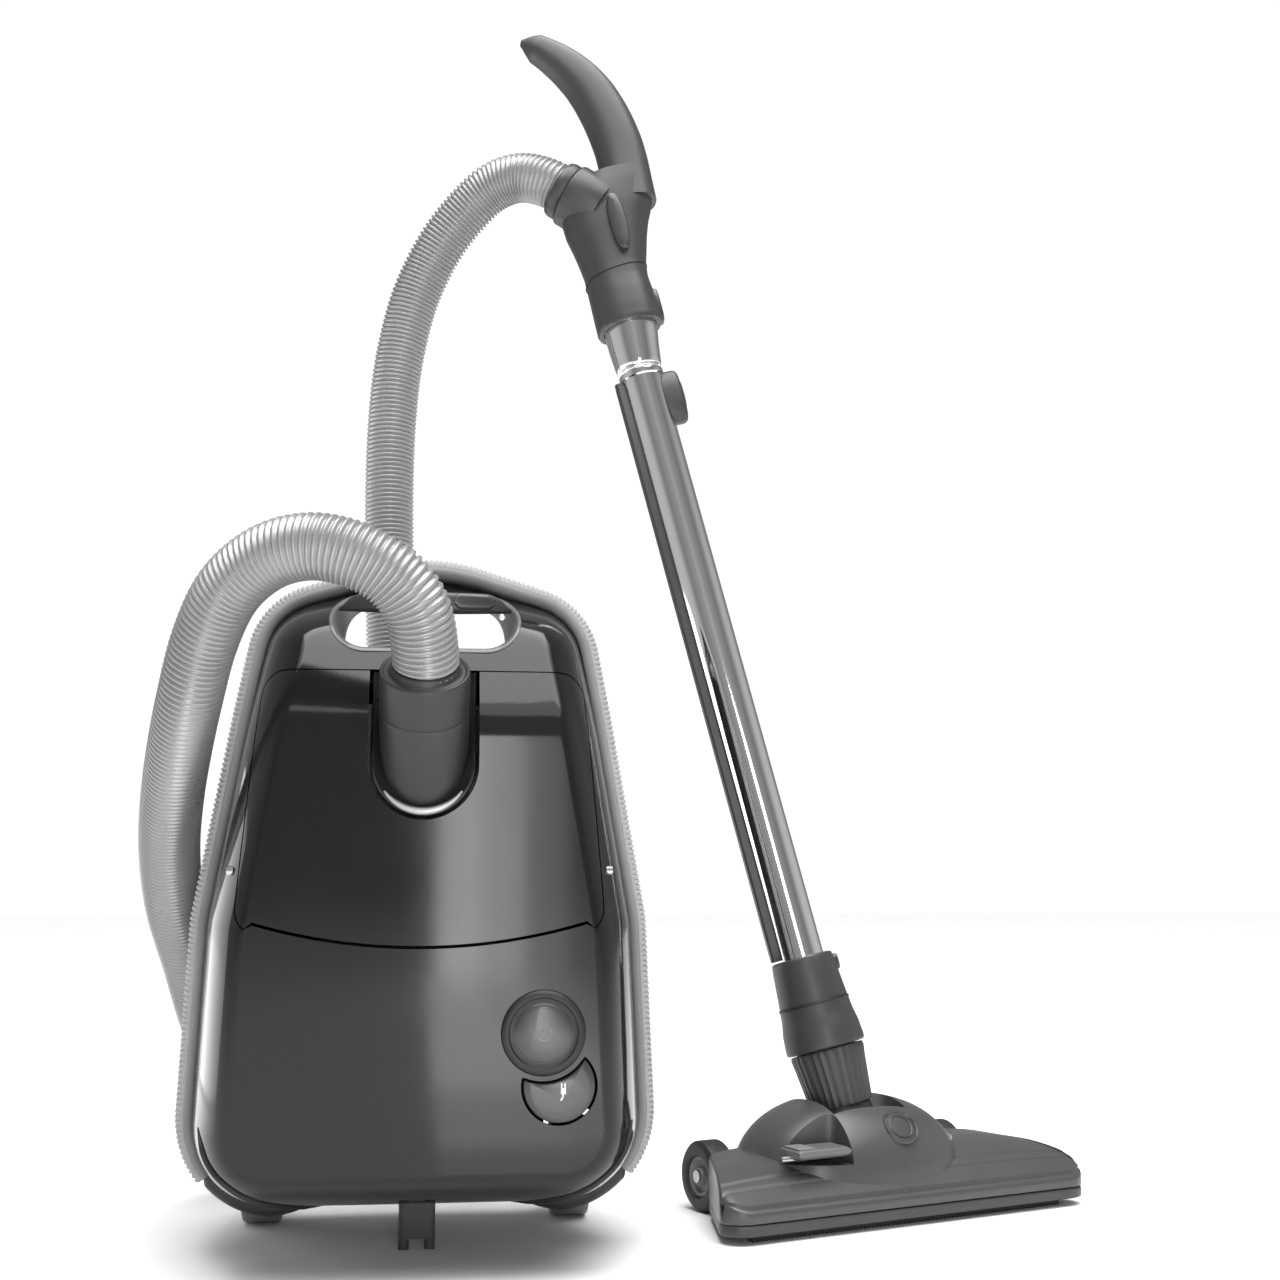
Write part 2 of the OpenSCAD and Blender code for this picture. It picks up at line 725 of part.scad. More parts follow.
module head_wheel(s) head_frame() difference() {
    rod_x(head_wheel_y, head_wheel_r, head_wheel_r,
        s * head_wheel_x + head_shift - 10, s * head_wheel_x + head_shift + 10);
    rod_x(head_wheel_y, head_wheel_r, 4 + run, -200, 200);
}

module head_wheel_left() color("#2e2e30") head_wheel(-1);

module head_wheel_right() color("#2e2e30") head_wheel(1);

module head_axle_rods() for (s = [-1, 1]) rod_x(head_wheel_y, head_wheel_r, 4,
    s * (head_wheel_x - 12) + head_shift - 22, s * (head_wheel_x - 12) + head_shift + 22);

module head_axle() color("#9a9a9c") head_frame() head_axle_rods();

upper_shell();
base_shell();
exhaust_belt();
belt_foam();
corner_guards();
handle_bezel();
carry_handle();
inlet_saddle();
bag_indicator();
lid();
lid_pin();
lid_latch();
bulkhead();
dust_bag();
bag_plate();
motor_filter();
motor_housing();
motor_stator();
motor_armature();
motor_fan();
motor_mount();
cord_reel();
reel_axle();
cord_outlet();
control_board();
power_switch();
knob_bezel();
power_plunger();
power_knob();
rewind_button();
parking_lug();
rear_wheel_left();
rear_wheel_right();
wheel_axles();
castor_fork();
castor_wheel();
castor_axle();
shell_screws();
hose_connector();
hose();
hose_cuff();
handle_grip();
handle_body();
air_slider();
release_tab();
inner_tube();
outer_tube();
tube_rail();
slide_lock();
tube_socket();
socket_latch();
neck();
neck_pin();
head_cover();
sole_plate();
pedal();
brush_strips();
head_wheel_left();
head_wheel_right();
head_axle();
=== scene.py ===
"""Canister vacuum cleaner: its visual model in the row's frame, in metres."""

import json
from math import atan2, copysign, cos, exp, hypot, pi, radians, sin, sqrt

import bmesh
import bpy
import numpy as np
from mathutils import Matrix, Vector


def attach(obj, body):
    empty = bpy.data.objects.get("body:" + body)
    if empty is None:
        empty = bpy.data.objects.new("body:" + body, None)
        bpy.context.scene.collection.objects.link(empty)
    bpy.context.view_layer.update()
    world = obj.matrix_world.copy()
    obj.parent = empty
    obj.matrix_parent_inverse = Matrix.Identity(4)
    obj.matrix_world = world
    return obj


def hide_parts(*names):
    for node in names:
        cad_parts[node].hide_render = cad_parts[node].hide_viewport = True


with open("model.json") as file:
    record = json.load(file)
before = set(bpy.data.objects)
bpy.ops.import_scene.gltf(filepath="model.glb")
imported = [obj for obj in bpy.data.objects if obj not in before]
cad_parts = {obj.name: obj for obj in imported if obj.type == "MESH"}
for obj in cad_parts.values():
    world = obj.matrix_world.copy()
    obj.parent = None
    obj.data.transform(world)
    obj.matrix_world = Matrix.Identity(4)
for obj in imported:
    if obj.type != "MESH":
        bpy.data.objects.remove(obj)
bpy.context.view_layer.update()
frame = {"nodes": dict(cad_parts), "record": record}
MM = 0.001
SCENE = bpy.context.scene


# Camera ---------------------------------------------------------------------------------

def add_camera():
    data = bpy.data.cameras.new("camera")
    data.sensor_width = 36.0
    data.lens = 49.5
    cam = bpy.data.objects.new("camera", data)
    cam.location = (0.0, -1.1, 0.233)
    yaw, pitch = radians(7.0), radians(7.0)
    cam.rotation_euler = (pi / 2 + pitch, 0.0, -yaw)
    SCENE.collection.objects.link(cam)
    SCENE.camera = cam


add_camera()


# Materials ------------------------------------------------------------------------------

def node(tree, kind, **values):
    made = tree.nodes.new(kind)
    for key, value in values.items():
        if hasattr(made, key):
            setattr(made, key, value)
        else:
            made.inputs[key.replace("_", " ")].default_value = value
    return made


def spread(tree, source, low, high):
    """A noise value mapped onto a range."""
    step = node(tree, "ShaderNodeMapRange")
    step.inputs["From Min"].default_value = 0.3
    step.inputs["From Max"].default_value = 0.7
    step.inputs["To Min"].default_value = low
    step.inputs["To Max"].default_value = high
    tree.links.new(source, step.inputs["Value"])
    return step.outputs["Result"]


def noise(tree, coords, scale, detail=4.0, stretch=None):
    if stretch:
        bend = node(tree, "ShaderNodeMapping")
        bend.inputs["Scale"].default_value = stretch
        tree.links.new(coords, bend.inputs["Vector"])
        coords = bend.outputs["Vector"]
    made = node(tree, "ShaderNodeTexNoise", Scale=scale, Detail=detail)
    tree.links.new(coords, made.inputs["Vector"])
    return made.outputs["Fac"]


def finish_of(name, grey, rough, metal=0.0, coat=0.0, grain=220.0, bump=0.02, mottle=0.06, warm=0.0,
        stretch=None, sheen=0.0, shine=0.5):
    """Plastic, metal or cloth with mottled colour, uneven gloss, fine grain and worn patches."""
    mat = bpy.data.materials.new(name)
    mat.use_nodes = True
    tree = mat.node_tree
    shader = tree.nodes["Principled BSDF"]
    coords = node(tree, "ShaderNodeTexCoord").outputs["Object"]
    wide = noise(tree, coords, 9.0)
    fine = noise(tree, coords, grain, 3.0, stretch)
    worn = noise(tree, coords, 34.0, 6.0)
    tint = node(tree, "ShaderNodeMix", data_type="RGBA")
    # The colour mix node's two colour sockets are its inputs 6 and 7
    for socket, k in ((6, 1.0 - mottle), (7, 1.0 + mottle)):
        tint.inputs[socket].default_value = (grey * k * (1 + warm), grey * k, grey * k * (1 - warm),
            1.0)
    tree.links.new(spread(tree, wide, 0.0, 1.0), tint.inputs[0])
    tree.links.new(tint.outputs[2], shader.inputs["Base Color"])
    mixed = node(tree, "ShaderNodeMath", operation="ADD")
    tree.links.new(spread(tree, worn, rough * 0.85, rough * 1.1), mixed.inputs[0])
    tree.links.new(spread(tree, fine, 0.0, rough * 0.12), mixed.inputs[1])
    tree.links.new(mixed.outputs[0], shader.inputs["Roughness"])
    shader.inputs["Metallic"].default_value = metal
    shader.inputs["Coat Weight"].default_value = coat
    shader.inputs["Coat Roughness"].default_value = 0.03
    shader.inputs["Sheen Weight"].default_value = sheen
    shader.inputs["Specular IOR Level"].default_value = shine
    dents = node(tree, "ShaderNodeBump", Strength=bump, Distance=0.0004)
    tree.links.new(fine, dents.inputs["Height"])
    tree.links.new(dents.outputs["Normal"], shader.inputs["Normal"])
    return mat


FINISHES = {"gloss_anthracite": finish_of("gloss anthracite", 0.009, 0.09, grain=300.0, bump=0.003,
    shine=0.32), "belt_textile": finish_of("belt textile", 0.30, 0.75, grain=900.0, bump=0.5,
    sheen=0.2), "foam": finish_of("foam", 0.20, 0.9, grain=1200.0, bump=0.6, mottle=0.15),
    "soft_black": finish_of("soft black", 0.012, 0.5, grain=600.0, bump=0.15),
    "silver_plastic": finish_of("silver plastic", 0.34, 0.28, metal=0.6, coat=0.3, grain=700.0,
    bump=0.03), "dark_plastic": finish_of("dark plastic", 0.032, 0.40, grain=900.0, bump=0.12),
    "button_plastic": finish_of("button plastic", 0.032, 0.3, coat=0.2, grain=700.0, bump=0.05),
    "hose_plastic": finish_of("hose plastic", 0.28, 0.30, metal=0.35, coat=0.1, grain=500.0,
    bump=0.05), "wheel_plastic": finish_of("wheel plastic", 0.16, 0.5, grain=500.0, bump=0.1),
    "chrome_tube": finish_of("chrome tube", 0.80, 0.07, metal=1.0, grain=60.0, bump=0.01, mottle=0.02,
    stretch=(1.0, 1.0, 0.02)), "steel": finish_of("steel", 0.5, 0.3, metal=1.0, grain=300.0,
    bump=0.05), "motor_metal": finish_of("motor metal", 0.42, 0.35, metal=1.0, warm=0.18, grain=260.0,
    bump=0.1), "paper_bag": finish_of("paper bag", 0.62, 0.9, warm=0.06, grain=400.0, bump=0.4,
    mottle=0.1), "circuit_board": finish_of("circuit board", 0.06, 0.5, warm=-0.35, grain=260.0,
    bump=0.2), }
GLOSS = FINISHES["gloss_anthracite"]
DARK = FINISHES["dark_plastic"]
BUTTON = FINISHES["button_plastic"]
WHEEL = FINISHES["wheel_plastic"]
SILVER = FINISHES["silver_plastic"]
CHROME = FINISHES["chrome_tube"]
HEAD_GREY = finish_of("head grey", 0.055, 0.3, grain=900.0, bump=0.06)
SOFT_GREY = finish_of("soft grey", 0.016, 0.42, grain=900.0, bump=0.1)
PEDAL_GREY = finish_of("pedal grey", 0.11, 0.35, grain=900.0, bump=0.05)
NEAR_BLACK = finish_of("near black", 0.004, 0.5, grain=500.0, bump=0.05)
PALE = finish_of("pale mark", 0.7, 0.5, grain=400.0, bump=0.05)

SLOT_OF = {part["node"]: part["material_slot"] for part in frame["record"]["subparts"]}
for cad_name, cad_object in frame["nodes"].items():
    cad_object.data.materials.clear()
    cad_object.data.materials.append(FINISHES[SLOT_OF[cad_name]])
BODY_OF = {n: b for b, ns in frame["record"]["behaviour"]["bodies"].items() for n in ns}


# Meshes ---------------------------------------------------------------------------------

def piece(name, verts, faces, finish, *nodes, angle=38.0, cut_by=(), keep=None, slot=None):
    """A mesh given in millimetres that rides with the CAD nodes it stands for."""
    mesh = bpy.data.meshes.new(name)
    mesh.from_pydata([tuple(float(c) * MM for c in v) for v in verts], [], faces)
    work = bmesh.new()
    work.from_mesh(mesh)
    bmesh.ops.remove_doubles(work, verts=work.verts, dist=0.00001)
    bmesh.ops.recalc_face_normals(work, faces=work.faces)
    if work.calc_volume(signed=True) < 0:
        bmesh.ops.reverse_faces(work, faces=work.faces)
    work.to_mesh(mesh)
    work.free()
    made = bpy.data.objects.new(name, mesh)
    SCENE.collection.objects.link(made)
    for way, tool in [("DIFFERENCE", t) for t in cut_by] + ([("INTERSECT", keep)] if keep else []):
        boolean(made, tool, way)
    made.data.shade_smooth()
    made.data.set_sharp_from_angle(angle=radians(angle))
    made.data.materials.clear()
    made.data.materials.append(finish)
    if nodes:
        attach(made, BODY_OF[nodes[0]])
        slot or SLOT_OF[nodes[0]]
        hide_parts(nodes[0])
    return made


def boolean(target, tool, way):
    step = target.modifiers.new("cut", "BOOLEAN")
    step.operation = way
    step.object = tool
    step.solver = "MANIFOLD"
    done = bpy.data.meshes.new_from_object(target.evaluated_get(bpy.context.evaluated_depsgraph_get()))
    target.modifiers.clear()
    target.data = done


def full_turn(count):
    """Even angles once round a circle."""
    return np.linspace(0, 2 * pi, count, endpoint=False)


def loft(rings, caps=(True, True), around=False):
    """Skin over closed rings of equal length."""
    n, k = len(rings[0]), len(rings)
    verts = [v for ring in rings for v in ring]
    faces = []
    for i in range(k if around else k - 1):
        a, b = i * n, (i + 1) % k * n
        faces += [(a + j, a + (j + 1) % n, b + (j + 1) % n, b + j) for j in range(n)]
    if caps[0] and not around:
        faces.append(tuple(reversed(range(n))))
    if caps[1] and not around:
        faces.append(tuple((k - 1) * n + j for j in range(n)))
    return verts, faces


def joined(*parts):
    verts, faces = [], []
    for v, f in parts:
        faces += [tuple(i + len(verts) for i in face) for face in f]
        verts += list(v)
    return verts, faces


def mapped(part, place):
    return [place(*v) for v in part[0]], part[1]


def turned(profile, sides=64, ribs=0, rib=0.0):
    """Profile of (radius, height) turned about Z, ribbed lengthways if asked."""
    angles = [2 * pi * i / sides for i in range(sides)]
    rings = []
    for r, h in profile:
        rings.append([((r + rib * (cos(ribs * a) > 0)) * cos(a),
            (r + rib * (cos(ribs * a) > 0)) * sin(a), h) for a in angles])
    return loft(rings)


def rounded(profile, radius, steps=4):
    """The profile with its inner corners rounded."""
    out = [profile[0]]
    for a, b, c in zip(profile, profile[1:], profile[2:]):
        pa, pb, pc = Vector(a), Vector(b), Vector(c)
        cut = min(radius, (pa - pb).length / 2, (pc - pb).length / 2)
        p, q = pb + (pa - pb).normalized() * cut, pb + (pc - pb).normalized() * cut
        for i in range(steps + 1):
            t = i / steps
            out.append(tuple((1 - t) ** 2 * p + 2 * t * (1 - t) * pb + t * t * q))
    out.append(profile[-1])
    return out


def prism(outline, y0, y1):
    """An outline in X and Z given depth."""
    return loft([[(x, y, z) for x, z in outline] for y in (y0, y1)])


def squircle(a, b, n=40, p=3.0):
    out = []
    for i in range(n):
        t = 2 * pi * i / n
        c, s = cos(t), sin(t)
        out.append((a * copysign(abs(c) ** (2 / p), c), b * copysign(abs(s) ** (2 / p), s)))
    return out


def pebble(a, b, h, edge=3.0, n=48, p=3.0):
    """A rounded slab on z = 0 with a domed top."""
    rings = []
    for inset, z in [(0.0, 0.0), (0.0, h - edge), (edge * 0.13, h - edge * 0.5),
            (edge * 0.5, h - edge * 0.13), (edge, h), (min(a, b) * 0.6, h + 0.4),
            (min(a, b) * 0.97, h + 0.6)]:
        rings.append([(x * (a - inset) / a, y * (b - inset) / b, z) for x, y in squircle(a, b, n, p)])
    return loft(rings)


def tube_along(path, radius, sides=16, closed=False):
    """A round tube along points, its radius a number or one for each point."""
    pts = [Vector(p) for p in path]
    n = len(pts)
    rings, side = [], None
    for i, p in enumerate(pts):
        ahead = pts[(i + 1) % n] if closed or i < n - 1 else p
        behind = pts[i - 1] if closed or i > 0 else p
        d = (ahead - behind).normalized()
        if side is None:
            side = d.orthogonal().normalized()
        side = (side - side.dot(d) * d).normalized()
        up = d.cross(side)
        r = radius[i] if isinstance(radius, (list, tuple)) else radius
        rings.append([tuple(p + r * (cos(t) * side + sin(t) * up))
                      for t in (2 * pi * k / sides for k in range(sides))])
    return loft(rings, around=closed)


def smooth_path(points, step):
    """Points at even steps along a smooth curve through the given ones."""
    p = np.array(points, float)
    p = np.vstack([2 * p[0] - p[1], p, 2 * p[-1] - p[-2]])
    fine = []
    for i in range(1, len(p) - 2):
        for t in np.linspace(0, 1, 24, endpoint=False):
            a, b, c, d = p[i - 1:i + 3]
            fine.append(0.5 * (2 * b + (c - a) * t + (2 * a - 5 * b + 4 * c - d) * t ** 2
                               + (3 * b - a - 3 * c + d) * t ** 3))
    fine.append(p[-2])
    fine = np.array(fine)
    run = np.r_[0, np.cumsum(np.linalg.norm(np.diff(fine, axis=0), axis=1))]
    count = max(2, round(run[-1] / step) + 1)
    at = np.linspace(0, run[-1], count)
    return np.column_stack([np.interp(at, run, fine[:, k]) for k in range(3)]), run[-1]


# Hose -----------------------------------------------------------------------------------

HOSE_D = 37.0
HOSE_ROUTE = [(0, -124, 324), (0, -138, 343), (-5, -152, 366), (-18, -158, 382), (-38, -159, 393),
    (-62, -154, 398), (-86, -144, 393), (-107, -130, 377), (-121, -112, 352), (-131, -90, 322),
    (-140, -60, 294), (-148, -25, 266), (-154, 15, 236), (-155, 55, 202), (-149, 96, 164),
    (-142, 135, 124), (-130, 170, 84), (-112, 200, 48), (-88, 221, 27), (-62, 233, 24), (-40, 238, 40),
    (-27, 240, 72), (-22, 240, 120), (-21, 239, 180), (-22, 237, 250), (-24, 235, 320),
    (-26, 234, 390), (-28, 233, 450), (-29, 232, 510), (-28, 230, 560), (-24, 227, 605),
    (-15, 222, 648), (-4, 217, 677), (10, 210, 702), (28, 202, 724), (46, 194, 739), (66, 185, 744),
    (88, 176, 737), (110, 173.5, 723.5)]
RIB_PITCH = 3.4


def add_hose():
    """Corrugated tube: each rib is a rounded ring with a narrow valley after it."""
    steps = 5
    shape = (0.0, 0.8, 1.0, 0.8, 0.0)
    path, length = smooth_path(HOSE_ROUTE, RIB_PITCH / steps)
    low, high = HOSE_D / 2 - 2.0, HOSE_D / 2
    radii = [low + (high - low) * shape[i % steps] for i in range(len(path))]
    verts, faces = tube_along([tuple(p) for p in path], radii, 28)
    hose = piece("hose_ribbed", verts, faces, FINISHES["hose_plastic"], "hose", angle=180.0)


add_hose()


# Canister -------------------------------------------------------------------------------

BELT_T = 11.0
EDGE = 30.0
EDGE_POWER = 2.0
# Circles whose hull is the belt's outline: middle X, middle Z, radius
BELT_CIRCLES = [(s * x, z, r) for x, z, r in ((80, 82, 62), (77, 190, 60), (58, 350, 50)) for s in (-1,
    1)]
BELT_CIRCLES.append((0, 298, 117))
# Circles whose hull is the side outline: middle Y, middle Z, radius
SIDE_CIRCLES = [(-68, 62, 42), (-40, 290, 70), (0, 304, 100), (72, 60, 40), (50, 318, 62)]
WAYS = np.array([(cos(t), sin(t)) for t in full_turn(1440)])


def reach(circles, inset):
    c = np.array(circles, float)
    return (c[:, :2] @ WAYS.T + (c[:, 2:] - inset)).max(axis=0)


BODY_REACH = reach(BELT_CIRCLES, BELT_T)
SIDE_REACH = reach(SIDE_CIRCLES, 0.0)


def outline_points(inset, count):
    """Even points on the belt's outline moved inwards, from the bottom middle, and outward normals."""
    c = np.array(BELT_CIRCLES, float)
    best = (c[:, :2] @ WAYS.T + c[:, 2:]).argmax(axis=0)
    dense = c[best, :2] + (c[best, 2:] - inset) * WAYS
    start = int(3 * len(WAYS) / 4)
    dense = np.roll(dense, -start, axis=0)
    dense = np.vstack([dense, dense[:1]])
    run = np.r_[0, np.cumsum(np.linalg.norm(np.diff(dense, axis=0), axis=1))]
    at = (np.linspace(0, run[-1], count, endpoint=False) - dense[0, 0]) % run[-1]
    pts = np.column_stack([np.interp(at, run, dense[:, k]) for k in (0, 1)])
    along = np.roll(pts, -1, axis=0) - np.roll(pts, 1, axis=0)
    along /= np.linalg.norm(along, axis=1)[:, None]
    return pts, np.column_stack([along[:, 1], -along[:, 0]])


def depth_in(x, z):
    """How far a point lies inside the shells' outline."""
    return float((BODY_REACH - WAYS @ np.array([x, z])).min())


def half_depth(z, front):
    """Depth of the shell from the seam at height z, before its edges are rounded."""
    side = -1 if front else 1
    ways = WAYS[(WAYS[:, 0] * side) > 0.02]
    reaches = SIDE_REACH[(WAYS[:, 0] * side) > 0.02]
    return float(((reaches - ways[:, 1] * z) / (ways[:, 0] * side)).min())


HEIGHTS = np.linspace(10, 420, 411)
DEPTHS = {f: np.array([half_depth(z, f) for z in HEIGHTS]) for f in (True, False)}


def crowned(x, z, front):
    return float(np.interp(z, HEIGHTS, DEPTHS[front])) - 2.5 * (x / 95.0) ** 2


def skin_y(x, z, front=True, inset=0.0):
    """Y of the shell's outer face over a point, or of a face that lies inset within it."""
    d = min(max(depth_in(x, z) - inset, 0.0), EDGE)
    k = max(0.0, 1 - (1 - d / EDGE) ** EDGE_POWER) ** (1 / EDGE_POWER)
    y = (crowned(x, z, front) - inset) * k
    return -y if front else y


def skin_field(p, front):
    x, y, z = p
    d = min(max(depth_in(x, z), 0.0), EDGE)
    return (abs(y) / max(crowned(x, z, front), 1.0)) ** EDGE_POWER + (1 - d / EDGE) ** EDGE_POWER - 1


def skin_normal(p, front):
    e = 0.2
    g = [skin_field([p[j] + e * (i == j) for j in range(3)],
        front) - skin_field([p[j] - e * (i == j) for j in range(3)], front) for i in range(3)]
    return Vector(g).normalized()


def shell_solid(front, wall=2.6, count=200):
    """One shell as a closed wall, open at the seam."""
    rings = []
    insets = [0, 0.4, 1.1, 2.2, 3.7, 5.5, 7.6, 10, 12.5, 15.2, 18, 21, 24, 27, EDGE]
    for d in insets:
        pts, normals = outline_points(BELT_T, count)
        rings.append([(x - d * nx, z - d * nz) for (x, z), (nx, nz) in zip(pts, normals)])
    last = rings[-1]
    for f in np.linspace(0, 1, 16)[1:]:
        rings.append([(x * (1 - f), z + (min(max(z, 105), 310) - z) * f) for x, z in last])

    def skin(inset):
        return [[(x, skin_y(x, z, front, inset), z) for x, z in ring] for ring in rings]
    outer = skin(0.0)
    outer[0] = [(x, 0.0, z) for x, _, z in outer[0]]
    inner = [[(x * (1 - wall / 140), y, z + (215 - z) * wall / 200) for x, y,
        z in ring] for ring in skin(0.0)]
    inner = [[(x, y + (wall if front else -wall) * min(1, abs(y) / 20), z) for x, y,
        z in ring] for ring in inner]
    verts, faces = loft(list(reversed(inner)) + outer, caps=(False, False))
    return verts, faces


def give_normals(made, front):
    """Analytic normals on the part of a cut shell that is still its outer face."""
    mesh = made.data
    on = []
    for v in mesh.vertices:
        p = [c / MM for c in v.co]
        ok = (p[1] < 0.5) == front or abs(p[1]) < 0.5
        on.append(skin_normal(p, front) if ok and abs(skin_field(p,
            front)) < 0.012 and abs(p[1]) > 0.3 else None)
    loops = []
    for poly in mesh.polygons:
        flat = poly.normal.copy()
        outer = all(on[v] is not None for v in poly.vertices) and on[poly.vertices[0]].dot(flat) > 0.7
        for v in poly.vertices:
            loops.append(tuple(on[v] if outer else flat))
    mesh.normals_split_custom_set(loops)


def tool(verts, faces):
    """A cutter that is taken away once it has been used."""
    made = piece("tool", verts, faces, DARK)
    made.hide_render = True
    return made


def scrap(*tools):
    for used in tools:
        bpy.data.objects.remove(used)


def obround(x, z, half, r, n=24):
    out = [(x + half + r * sin(t), z - r * cos(t)) for t in np.linspace(0, pi, n)]
    return out + [(x - half - r * sin(t), z + r * cos(t)) for t in np.linspace(0, pi, n)]


def carry_hole(r):
    """Outline of the hole for the hand, near the top of the canister."""
    return obround(0, 371, 34, r)


def circle(x, z, r, n=64):
    return [(x + r * cos(t), z + r * sin(t)) for t in np.linspace(0, 2 * pi, n,
        endpoint=False)]


def lid_outline(gap):
    """The lid's outline with its sagging lower edge."""
    low, top, sweep = 183.0, 338.0, 330.0
    out = []
    for x in np.linspace(-92, 92, 41):
        out.append((x, low + sweep - sqrt(sweep ** 2 - x ** 2) - gap))
    r, gap = 14.0, gap * 0.4
    out += [(102 - r + (r + gap) * cos(t),
        204 + (r + gap) * sin(t)) for t in np.linspace(-0.9, 0.05, 5)]
    out += [(93 - r + (r + gap) * cos(t),
        top - r + (r + gap) * sin(t)) for t in np.linspace(0.05, pi / 2, 9)]
    right = out[41:]
    return out + [(-x, z) for x, z in reversed(right)]


def notch_outline(grow, r=31.0, z=284.0):
    low = [(-(r + grow) * cos(t), z - (r + grow) * sin(t)) for t in np.linspace(0, pi,
        33)]
    return low + [(r + grow, 345.0), (-r - grow, 345.0)]


def leaf_outline(grow):
    """The rewind button: a leaf below the knob, hollowed along the knob's ring."""
    cx, cz, r = 77.0, 107.0, 20.0 + grow
    kx, kz, k = 68.0, 136.0, 27.5 - grow
    out = []
    for t in full_turn(240):
        x, z = cx + r * cos(t), cz + r * sin(t)
        if hypot(x - kx, z - kz) >= k:
            out.append((t, x, z))
    ts = [o[0] for o in out]
    gaps = [(ts[(i + 1) % len(ts)] - ts[i]) % (2 * pi) for i in range(len(ts))]
    cut = int(np.argmax(gaps)) + 1
    arc = [(x, z) for _, x, z in out[cut:] + out[:cut]]
    a0 = atan2(arc[-1][1] - kz, arc[-1][0] - kx)
    a1 = atan2(arc[0][1] - kz, arc[0][0] - kx)
    if abs(a1 - a0) > pi:
        a1 += 2 * pi * (1 if a1 < a0 else -1)
    return arc + [(kx + k * cos(a), kz + k * sin(a)) for a in np.linspace(a0, a1, 18)[1:-1]]


KNOB = (68.0, 136.0)


def add_shells():
    hole = tool(*prism(carry_hole(21.5), -150, 150))
    lid_hole = tool(*prism(lid_outline(0.9), -150, -60))
    recess = tool(*prism(circle(*KNOB, 23.6), -130, -60))
    leaf_hole = tool(*prism(leaf_outline(1.3), -130, -60))
    upper = piece("upper_shell_skin", *shell_solid(True), GLOSS, "upper_shell",
        cut_by=(hole, lid_hole, recess, leaf_hole))
    give_normals(upper, True)
    notch = tool(*prism(notch_outline(0.0), -150, -50))
    lid_keep = tool(*prism(lid_outline(-0.9), -150, -60))
    lid = piece("lid_skin", *shell_solid(True), GLOSS, "lid", cut_by=(notch,), keep=lid_keep)
    give_normals(lid, True)
    wells = [tool(*loft([[(s * x, 88 + 35 * cos(t), 32 + 35 * sin(t)) for t in np.linspace(0,
        2 * pi, 48, endpoint=False)] for x in (83, 150)])) for s in (-1, 1)]
    cup = tool(*prism(circle(0, 308, 33), 79, 130))
    holes = [tool(*prism(circle(x, z, 4.2), 100, 120)) for x in (-62, 62) for z in (110, 250)]
    base = piece("base_shell_skin", *shell_solid(False), GLOSS, "base_shell",
        cut_by=[hole] + wells + [cup] + holes)
    give_normals(base, False)
    scrap(*[hole, lid_hole, recess, leaf_hole, notch, lid_keep, cup] + wells + holes)


add_shells()


def belt_point(p, n, inset, y):
    return (p[0] - inset * n[0], y, p[1] - inset * n[1])


def add_belt():
    """Textile bumper with ribs across it, round the sides and the top."""
    pts, normals = outline_points(0.0, 1500)
    keep = [i for i in range(len(pts)) if pts[i][1] >= 43]
    start = next(i for i in keep if (i - 1) not in keep)
    order = [(start + k) % len(pts) for k in range(len(keep))]
    run, at = 0.0, []
    for a, b in zip(order, order[1:]):
        run += float(np.hypot(*(pts[b] - pts[a])))
        at.append(run)
    ribs = int(run / 3.1)
    where = np.linspace(0, run, ribs * 4 + 1)
    px = np.interp(where, [0] + at, pts[order, 0])
    pz = np.interp(where, [0] + at, pts[order, 1])
    nx = np.interp(where, [0] + at, normals[order, 0])
    nz = np.interp(where, [0] + at, normals[order, 1])
    rings = []
    half = 27.5
    for i in range(len(where)):
        crest = (0.0, 0.75, 1.0, 0.75)[i % 4]
        n = Vector((nx[i], nz[i])).normalized()
        ring = []
        for t in np.linspace(0, pi, 19):
            y = -half * cos(t)
            out = 7.2 * sin(t) ** 0.55
            ring.append((6.4 - out + (1 - crest) * 1.5 * min(1, sin(t) * 4), y))
        ring += [(9.5, half - 0.5), (9.5, 0), (9.5, -half + 0.5)]
        rings.append([belt_point((px[i], pz[i]), n, max(d, 0.05), y) for d, y in ring])
    piece("belt_ribbed", *loft(rings), FINISHES["belt_textile"], "exhaust_belt", angle=50.0)
    rings = []
    for i in range(0, len(where), 4):
        n = Vector((nx[i], nz[i])).normalized()
        ring = [(12, -half - 2.2), (9, -half - 3.4), (7.2, -half - 3.0), (6.4, -half - 1.6),
            (7, -half), (9, 0), (7, half), (6.4, half + 1.6), (7.2, half + 3.0), (9, half + 3.4),
            (12, half + 2.2)]
        rings.append([belt_point((px[i], pz[i]), n, d, y) for d, y in ring])
    piece("belt_backing", *loft(rings), FINISHES["foam"], "belt_foam", angle=70.0)


add_belt()


def add_corner_guards():
    """Smooth guards round the two lower corners, each with a raised lip."""
    pts, normals = outline_points(0.0, 700)
    for s in (-1, 1):
        run = [i for i in range(len(pts)) if pts[i][1] < 45 and s * pts[i][0] > 66]
        run.sort(key=lambda i: atan2(pts[i][1] - 82, s * pts[i][0] - 60))
        rings = []
        for k, i in enumerate(run):
            end = min(1.0, (k + 1) / 12, (len(run) - k) / 5)
            ring = []
            for t in np.linspace(0, pi, 15):
                out = 9.0 * end ** 0.5 * sin(t) ** 0.6
                ring.append((10.5 - out, -29 * cos(t)))
            ring += [(12.5, 29), (12.5, -29)]
            rings.append([belt_point(pts[i], normals[i], d, y) for d, y in ring])
        piece(f"corner_guard_{'left' if s < 0 else 'right'}", *loft(rings), FINISHES["soft_black"],
            "corner_guards", angle=60.0)


add_corner_guards()


